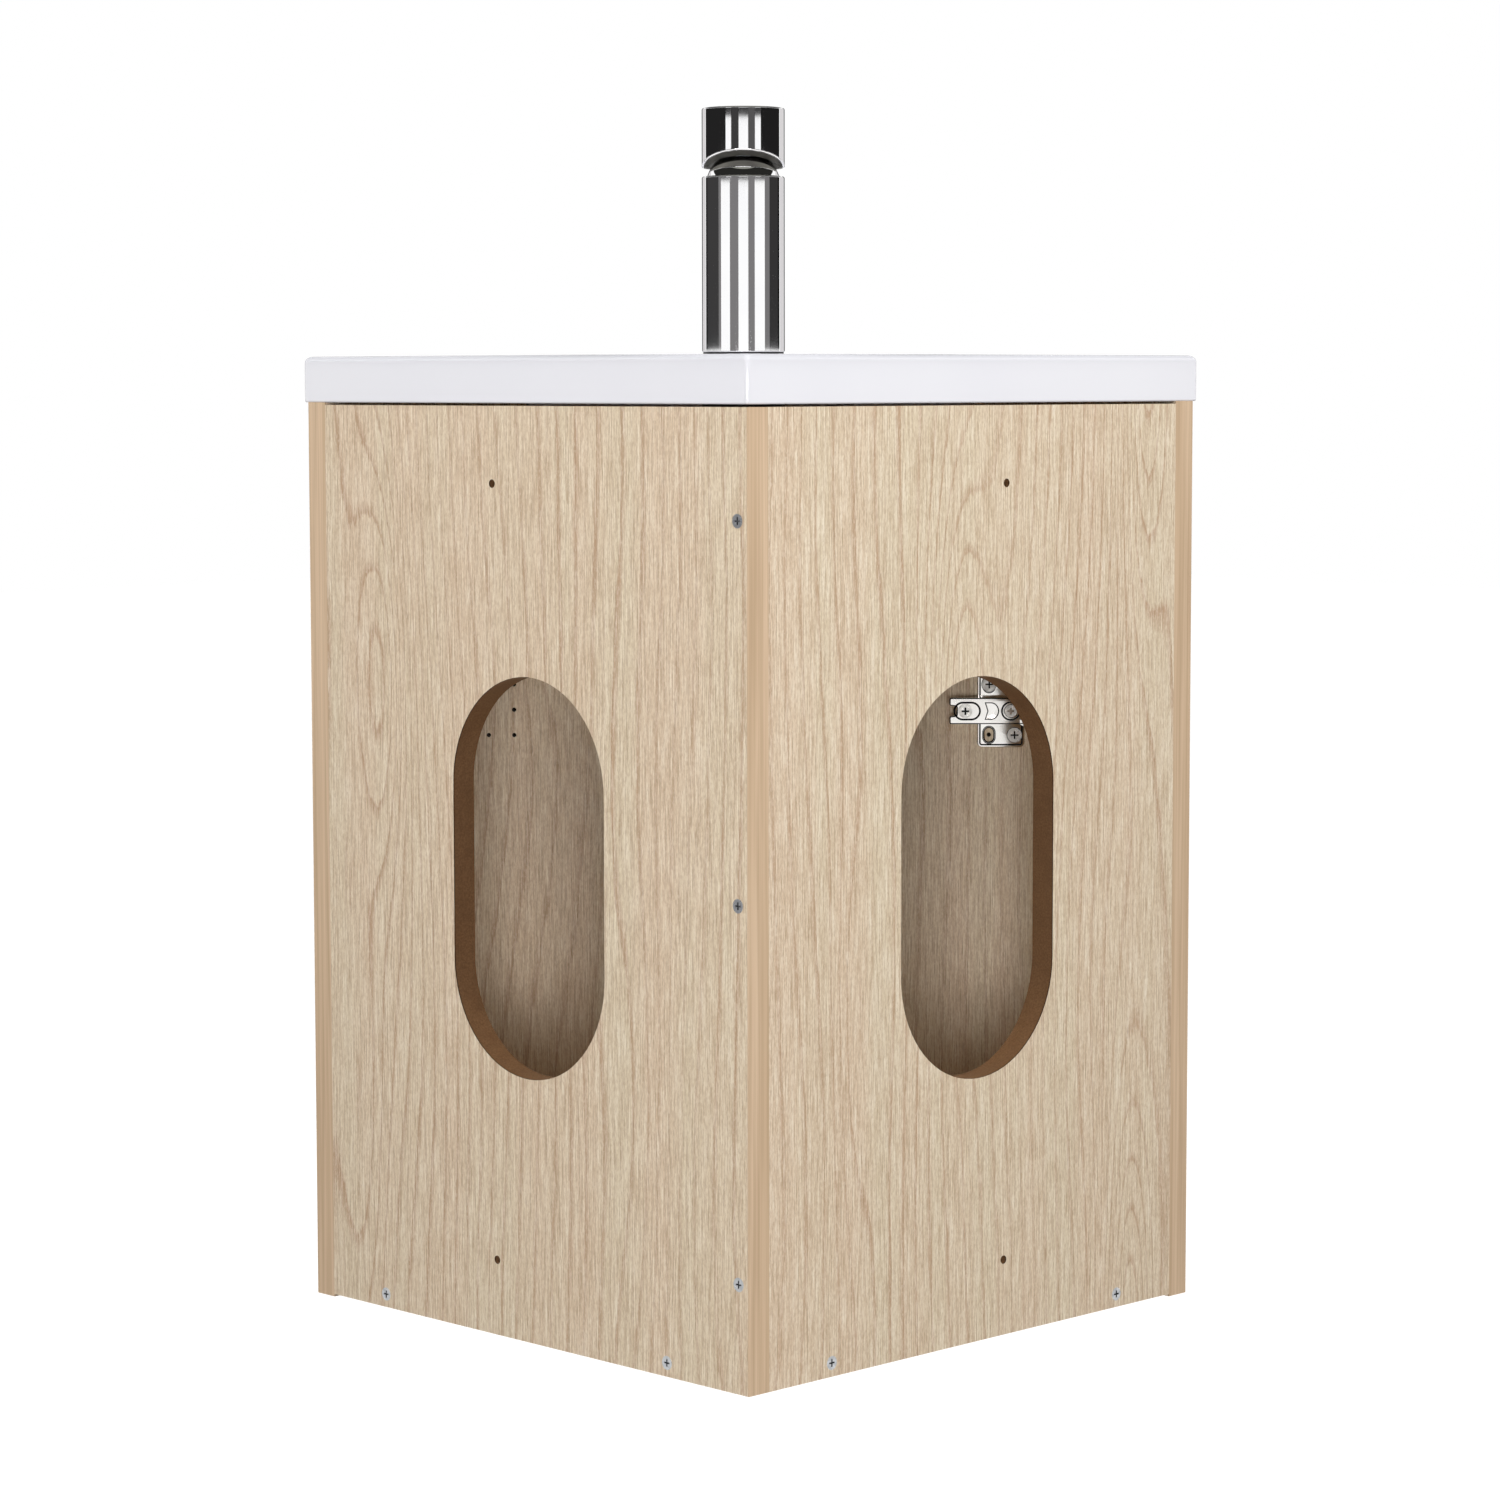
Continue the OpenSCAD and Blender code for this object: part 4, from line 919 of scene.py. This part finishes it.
def basin_piece():
    """The basin in one smooth skin: slab with rounded edges, a soft lip, the bowl and its underside."""
    shape = bmesh.new()
    walls = [(0.6, SLAB_Z), (0.18, SLAB_Z + 0.4), (SLAB_INSET, SLAB_Z + 1)]
    for a in quarter_turn(5):
        inset = SLAB_INSET + SLAB_EDGE_R * (1 - math.cos(a))
        walls.append((inset, TOP_Z - SLAB_EDGE_R * (1 - math.sin(a))))
    slab = [[shape.verts.new((point.x * MM, point.y * MM, z * MM)) for point in slab_outline(inset)]
            for inset, z in walls]
    join_all(shape, slab)
    lip, step = disc_hull(LIP_DISCS), disc_hull(STEP_DISCS)
    bowl = bowl_rings(shape, lambda angle: bowl_inside(lip, step, angle))
    under = bowl_rings(shape, lambda angle: bowl_outside(step, angle))
    join_rings(shape, bowl[-1], under[-1])
    hole = [around(TAP_D, 0, TAP_HOLE_R, a) for a in full_turn(48)]
    tap_top, tap_low = [new_ring(shape, [diagonal(*point, z) for point in hole]) for z in (TOP_Z, SLAB_Z)]
    join_rings(shape, tap_low, tap_top)
    fill_between(shape, slab[-1], bowl[0], tap_top)
    fill_between(shape, slab[0], under[0], tap_low)
    shape_piece("basin_skin", shape, ["ceramic"], "carcass", "ceramic", "basin")


def turned(shape, profile, place, count=128, closed=False):
    """A turned form from pairs of radius and height. The call place puts x, y and z into the model."""
    rings = [new_ring(shape, [place(*around(0, 0, r, a), h) for a in full_turn(count)]) for r, h in profile]
    join_all(shape, rings)
    if closed:
        join_rings(shape, rings[-1], rings[0])
    else:
        shape.faces.new(rings[0])
        shape.faces.new(rings[-1])


def rim(radius, height, edge, up=True):
    """Profile of a rounded outer edge that ends on the flat above, or starts from the flat below."""
    arc = [(radius - edge * (1 - math.cos(a)), height - edge * (1 - math.sin(a))) for a in quarter_turn(4)]
    if up:
        return arc
    return [(r, 2 * height - h) for r, h in reversed(arc)]


def at_tap(x, y, z):
    """Point x in front of the tap's axis and y to the left of it."""
    return diagonal(TAP_D + x, TAP_SIDE + y, z)


def bar_piece(name, discs, bottom, top, edge, body):
    """A flat tapered bar with rounded edges, round two discs in front of the tap."""
    (x0, r0), (x1, r1) = discs
    lean = math.asin((r0 - r1) / (x1 - x0))
    ends = ((x1, r1, lean - math.pi / 2, math.pi - 2 * lean),
            (x0, r0, math.pi / 2 - lean, math.pi + 2 * lean))
    shape = bmesh.new()

    def ring(angle, heights, way):
        """Outline at one step of a rounded edge. The way is 1 on the top edge and -1 on the bottom edge."""
        inset = edge * (1 - math.cos(angle))
        drop = edge * (1 - math.sin(angle)) * way
        points = []
        for x, r, start, sweep in ends:
            for k in range(25):
                a = start + sweep * k / 24
                px, py = around(x, 0, r - inset, a)
                level = heights[0] + (heights[1] - heights[0]) * (px - x0) / (x1 + r1 - x0)
                points.append(at_tap(px, py, level - drop))
        return new_ring(shape, points)

    steps = quarter_turn(4)
    rings = [ring(a, bottom, -1) for a in reversed(steps)] + [ring(a, top, 1) for a in steps]
    join_all(shape, rings)
    shape.faces.new(rings[0])
    shape.faces.new(rings[-1])
    shape_piece(name, shape, ["chrome"], body, "chrome")


def tap_body_piece():
    """Body of the tap, open where the cartridge sits."""
    shape = bmesh.new()
    floor = BODY_TOP - CARTRIDGE_DEPTH
    profile = [(BODY_HOLE_R, BODY_Z)] + rim(TAP_R, BODY_Z, 0.7, up=False) + rim(TAP_R, BODY_TOP, 1.1)
    profile += [(CARTRIDGE_R, BODY_TOP), (CARTRIDGE_R, floor), (BODY_HOLE_R, floor)]
    turned(shape, profile, at_tap, closed=True)
    shape_piece("tap_body_skin", shape, ["chrome"], "carcass", "chrome", "tap_body")


def tap_dome_piece():
    """Ball-shaped cover over the cartridge."""
    shape = bmesh.new()
    cap = [(CARTRIDGE_R - 0.1, DOME_Z - 1), (CARTRIDGE_R - 0.1, BODY_TOP)]
    start, end = math.asin((BODY_TOP - DOME_Z) / DOME_R), math.acos(CAP_TOP_R / DOME_R)
    for k in range(15):
        cap.append(around(0, DOME_Z, DOME_R, start + (end - start) * k / 14))
    cap += [(CAP_HOLE_R, cap[-1][1] + 0.1), (CAP_HOLE_R, DOME_Z - 1)]
    turned(shape, cap, at_tap, closed=True)
    shape_piece("tap_dome_skin", shape, ["chrome"], "carcass", "chrome", "tap_dome")


def cut_height(radius, angle):
    """Height of the head's underside, which slopes up at the back to let the head tip."""
    back = -radius * math.cos(angle)
    return HEAD_Z + math.tan(LIFT) * (back + math.sqrt(back * back + 3)) / 2


def cavity_height(radius):
    """Height of the head's ball-shaped hollow."""
    return DOME_Z + math.sqrt(CAVITY_R ** 2 - radius ** 2)


def cavity_edge(angle):
    """Radius at which the hollow meets the underside, found by halving."""
    low, high = 11.0, 21.5
    for _ in range(30):
        middle = (low + high) / 2
        if cavity_height(middle) > cut_height(middle, angle):
            low = middle
        else:
            high = middle
    return low


def tap_head_piece():
    """Head of the tap, hollow over the dome."""
    turns = full_turn(144)
    edges = [cavity_edge(a) for a in turns]
    levels = []
    for k in range(CAVITY_STEPS + 1):
        radii = [CEILING_R + (edge - CEILING_R) * k / CAVITY_STEPS for edge in edges]
        levels.append([(radius, cavity_height(radius)) for radius in radii])
    for bend in quarter_turn(4):
        radius = TAP_R - 1 + math.sin(bend)
        levels.append([(radius, cut_height(TAP_R - 1, a) + (1 - math.cos(bend))) for a in turns])
    levels += [[point] * len(turns) for point in rim(TAP_R, HEAD_TOP, 1)]
    levels.append([(TAP_R - 9, HEAD_TOP)] * len(turns))
    shape = bmesh.new()
    rings = [new_ring(shape, [at_tap(*around(0, 0, r, a), z) for (r, z), a in zip(level, turns)])
             for level in levels]
    for index, (lower, upper) in enumerate(zip(rings, rings[1:])):
        join_rings(shape, lower, upper, 1 if index <= CAVITY_STEPS else 0)
    shape.faces.new(rings[0]).material_index = 1
    shape.faces.new(rings[-1])
    shape_piece("tap_head_skin", shape, ["chrome", "raw_cast"], "tap_lever", "chrome", "tap_lever")


def tap_stem_piece():
    """Square stem between the cartridge and the head."""
    shape = bmesh.new()
    half = STEM_HALF
    square = ((-half, -half), (half, -half), (half, half), (-half, half))
    rings = [new_ring(shape, [at_tap(x, y, z) for x, y in square]) for z in (DOME_Z, HEAD_Z + 14)]
    join_rings(shape, *rings)
    for ring in rings:
        shape.faces.new(ring)
    shape_piece("tap_stem", shape, ["zinc"], "tap_lever", "chrome")


def tap_pieces():
    """The whole tap, from its body to the stem."""
    tap_body_piece()
    bar_piece("tap_spout", SPOUT_DISCS, SPOUT_BOTTOM, SPOUT_TOP, SPOUT_EDGE_R, "carcass")
    tap_dome_piece()
    tap_head_piece()
    bar_piece("tap_lever_bar", LEVER_DISCS, LEVER_BOTTOM, LEVER_TOP, LEVER_EDGE_R, "tap_lever")
    tap_stem_piece()


def handle_piece():
    """Round bar with softly rounded ends, on two posts that flare where they meet the door."""
    bar_d = DOOR_D + BOARD_T + HANDLE_OFF
    low, high = HANDLE_LOW - HANDLE_END, HANDLE_LOW + HANDLE_LEN + HANDLE_END
    shape = bmesh.new()
    turned(shape, rim(HANDLE_R, low, 1.4, up=False) + rim(HANDLE_R, high, 1.4),
           lambda x, y, z: diagonal(bar_d + x, HANDLE_SIDE + y, z), 64)
    post = [(POST_FLARE_R, 0), (POST_FLARE_R, 0.6), (4.15, 1.2), (POST_R, 2.4), (POST_R, HANDLE_OFF)]
    face = DOOR_D + BOARD_T
    for z in (HANDLE_LOW, HANDLE_LOW + HANDLE_LEN):
        turned(shape, post, lambda x, y, out, z=z: diagonal(face + out, HANDLE_SIDE + x, z + y), 48)
    shape_piece("handle_skin", shape, ["chrome"], "door", "chrome", "door_handle")


def drawn_in(points, inset):
    """A counter-clockwise outline moved inwards by inset."""
    result = []
    for i, point in enumerate(points):
        before = (point - points[i - 1]).normalized()
        after = (points[(i + 1) % len(points)] - point).normalized()
        normal = Vector((-before.y - after.y, before.x + after.x))
        normal.normalize()
        lean = max(0.35, normal.dot(Vector((-before.y, before.x))))
        result.append(point + normal * (inset / lean))
    return result


def disc_outline(u, z, radius):
    """Round outline."""
    return [Vector(around(u, z, radius, a)) for a in full_turn(32)]


def pressed_plate(shape, outline, holes, front, back, edge, outer=0):
    """Sheet with rounded front edges. Outlines are places across and up, and the front faces the wall. The
    rounded edges of the holes, and of the outline where outer is 1, take the piece's second material,
    nickel darkened as painted shade.
    """
    def ring(points, depth):
        return new_ring(shape, [diagonal(depth, -point.x, point.y) for point in points])

    def wall(points, way, material):
        rings = [ring(points, back)]
        for a in quarter_turn(3):
            inset = way * edge * (1 - math.cos(a))
            rings.append(ring(drawn_in(points, inset), front + edge * (1 - math.sin(a))))
        for index, (lower, upper) in enumerate(zip(rings, rings[1:])):
            join_rings(shape, lower, upper, material if index else 0)
        return rings[0], rings[-1]

    ends = [wall(outline, 1, outer)] + [wall(hole, -1, 1) for hole in holes]
    for rings in zip(*ends):
        fill_between(shape, *rings)


def raised_ring(shape, points, depth, radius):
    """A round bead along a closed outline that lies on a sheet at the depth, in the piece's second
    material, nickel darkened as painted shade.
    """
    count = len(points)
    rings = []
    for i, point in enumerate(points):
        along = (points[(i + 1) % count] - points[i - 1]).normalized()
        across = Vector((-along.y, along.x))
        bead = []
        for a in full_turn(10):
            spot = point + across * radius * math.cos(a)
            bead.append(diagonal(depth + radius * math.sin(a), -spot.x, spot.y))
        rings.append(new_ring(shape, bead))
    for i in range(count):
        join_rings(shape, rings[i], rings[(i + 1) % count], 1)


def capsule(u, z, half_len, radius):
    """Oblong outline whose long way is across."""
    points = []
    for side, start in ((1, -math.pi / 2), (-1, math.pi / 2)):
        middle = u + side * (half_len - radius)
        points += [Vector(around(middle, z, radius, start + math.pi * k / 14)) for k in range(15)]
    return points


def upright_capsule(u, z, half_len, radius):
    """Oblong outline whose long way is up, in the other direction of turning."""
    return [Vector((u + point.y - z, z + point.x - u)) for point in capsule(u, z, half_len, radius)]


def plan_point(d, u):
    """Plan point at distance d along the diagonal and u to the right, in the model's axes."""
    return Vector(((d + u) / ROOT2, (d - u) / ROOT2))


def strip_outline(points, half, end_radius):
    """Plan of a bent strip along the points, rounded about the last of them."""
    left, right = [], []
    for i, point in enumerate(points[:-1]):
        after = (points[i + 1] - point).normalized()
        before = (point - points[i - 1]).normalized() if i else after
        normal = Vector((-before.y - after.y, before.x + after.x)).normalized()
        lean = normal.dot(Vector((-after.y, after.x)))
        left.append(point + normal * half / lean)
        right.append(point - normal * half / lean)
    last = points[-1]
    way = (last - points[-2]).normalized()
    start = math.atan2(-way.x, way.y)
    spread = 0.6
    cap = []
    for k in range(13):
        a = spread - (math.pi + 2 * spread) * (k / 12)
        cap.append(last + Vector((math.cos(start + a), math.sin(start + a))) * end_radius)
    return left + cap + list(reversed(right))


def window_outline(z):
    """The arm's window: straight left edge with a point, bowed right edge."""
    low, high = z - WINDOW_HALF, z + WINDOW_HALF
    window = [Vector((WINDOW_LEFT, low)), Vector((WINDOW_RIGHT, low))]
    for k in range(1, 16):
        a = -math.pi / 2 + math.pi * k / 16
        window.append(Vector((WINDOW_RIGHT + WINDOW_BOW * math.cos(a), z + WINDOW_HALF * math.sin(a))))
    return window + [Vector((WINDOW_RIGHT, high)), Vector((WINDOW_LEFT, high)), Vector((WINDOW_POINT, z))]


def hinge_arm_piece(side, z):
    """Pressed arm of one hinge, with a notch, its window, the beads round its screws, and two ears."""
    shape = bmesh.new()
    notch = ARM_END_U + NOTCH_DEPTH
    arm = [Vector(point) for point in (
        (ARM_END_U, z - ARM_HALF), (ARM_FRONT_U, z - ARM_HALF), (ARM_FRONT_U, z + ARM_HALF),
        (ARM_END_U, z + ARM_HALF), (ARM_END_U, z + NOTCH_MOUTH_HALF), (notch, z + NOTCH_FLOOR_HALF),
        (notch, z - NOTCH_FLOOR_HALF), (ARM_END_U, z - NOTCH_MOUTH_HALF))]
    arm = round_corners(arm, ARM_CORNER_R, 4)
    pressed_plate(shape, arm, [window_outline(z)], ARM_TOP_D, DOOR_D - PLATE_T, ARM_EDGE_R, 1)
    raised_ring(shape, capsule(FIX_U + 1.2, z, 8.0, 5.3), ARM_TOP_D, 0.6)
    raised_ring(shape, disc_outline(TURN_U, z, 5.6), ARM_TOP_D, 0.55)
    raised_ring(shape, disc_outline(TURN_U, z, 3.7), ARM_TOP_D, 0.5)
    root = plan_point(ARM_TOP_D + 3, ARM_FRONT_U - 1)
    plan = strip_outline([root, Vector(ARM_ELBOW), Vector(ARM_PIVOT)], EAR_HALF_W, EAR_END_R)
    for way in (-1, 1):
        middle = z + way * EAR_OFF
        rings = [[shape.verts.new((point.x * MM, point.y * MM, level * MM)) for point in plan]
                 for level in (middle - EAR_HALF_T, middle + EAR_HALF_T)]
        join_rings(shape, *rings)
        for ring in rings:
            fill_between(shape, ring)
    # The second material is painted shade on the arm's beads, its rim and its window's edge
    shape_piece(side + "_arm_skin", shape, ["nickel", "nickel_painted_shade"], "door", "hinge_steel",
                side + "_hinge_arm")


def hinge_plate_piece(side, z):
    """Mounting plate of one hinge, with beads round its slots, its screws and itself."""
    shape = bmesh.new()
    front = DOOR_D - PLATE_T
    low, high = z - PLATE_HALF, z + PLATE_HALF
    plate = [Vector(point) for point in (
        (PLATE_LEFT, low), (PLATE_RIGHT, low), (PLATE_RIGHT, high), (PLATE_LEFT, high))]
    plate = round_corners(plate, PLATE_CORNER_R, 5)
    slots = [upright_capsule(SLOT_U, z + way * ROW, 4.3, 2.7)[::-1] for way in (-1, 1)]
    pressed_plate(shape, plate, slots, front, DOOR_D, PLATE_EDGE_R)
    for way, screw_u in ((-1, HOLE_U), (1, SLOT_U)):
        row = z + way * ROW
        raised_ring(shape, upright_capsule(SLOT_U, row, 5.5, 3.9), front, 0.3)
        raised_ring(shape, disc_outline(screw_u, row, 4.3), front, 0.6)
    raised_ring(shape, drawn_in(plate, 1.8), front, 0.5)
    # The second material is painted shade on the plate's beads and the edges of its slots
    shape_piece(side + "_plate_skin", shape, ["nickel", "nickel_painted_shade"], "door", "hinge_steel",
                side + "_hinge_plate")


def hinge_pieces():
    """Arm and plate of both hinges."""
    for side, z in HINGE_ZS.items():
        hinge_arm_piece(side, z)
        hinge_plate_piece(side, z)


def main():
    """Camera, stage and pieces, in order."""
    bpy.context.scene.view_settings.view_transform = "Standard"
    add_camera()
    add_world()
    add_floor()
    add_lamps()
    add_cards()
    for name, node in frame["nodes"].items():
        dress(node, name)
    basin_piece()
    tap_pieces()
    handle_piece()
    hinge_pieces()
    for name, radius_mm in ROUNDED_MM.items():
        rounded(name, radius_mm)


main()
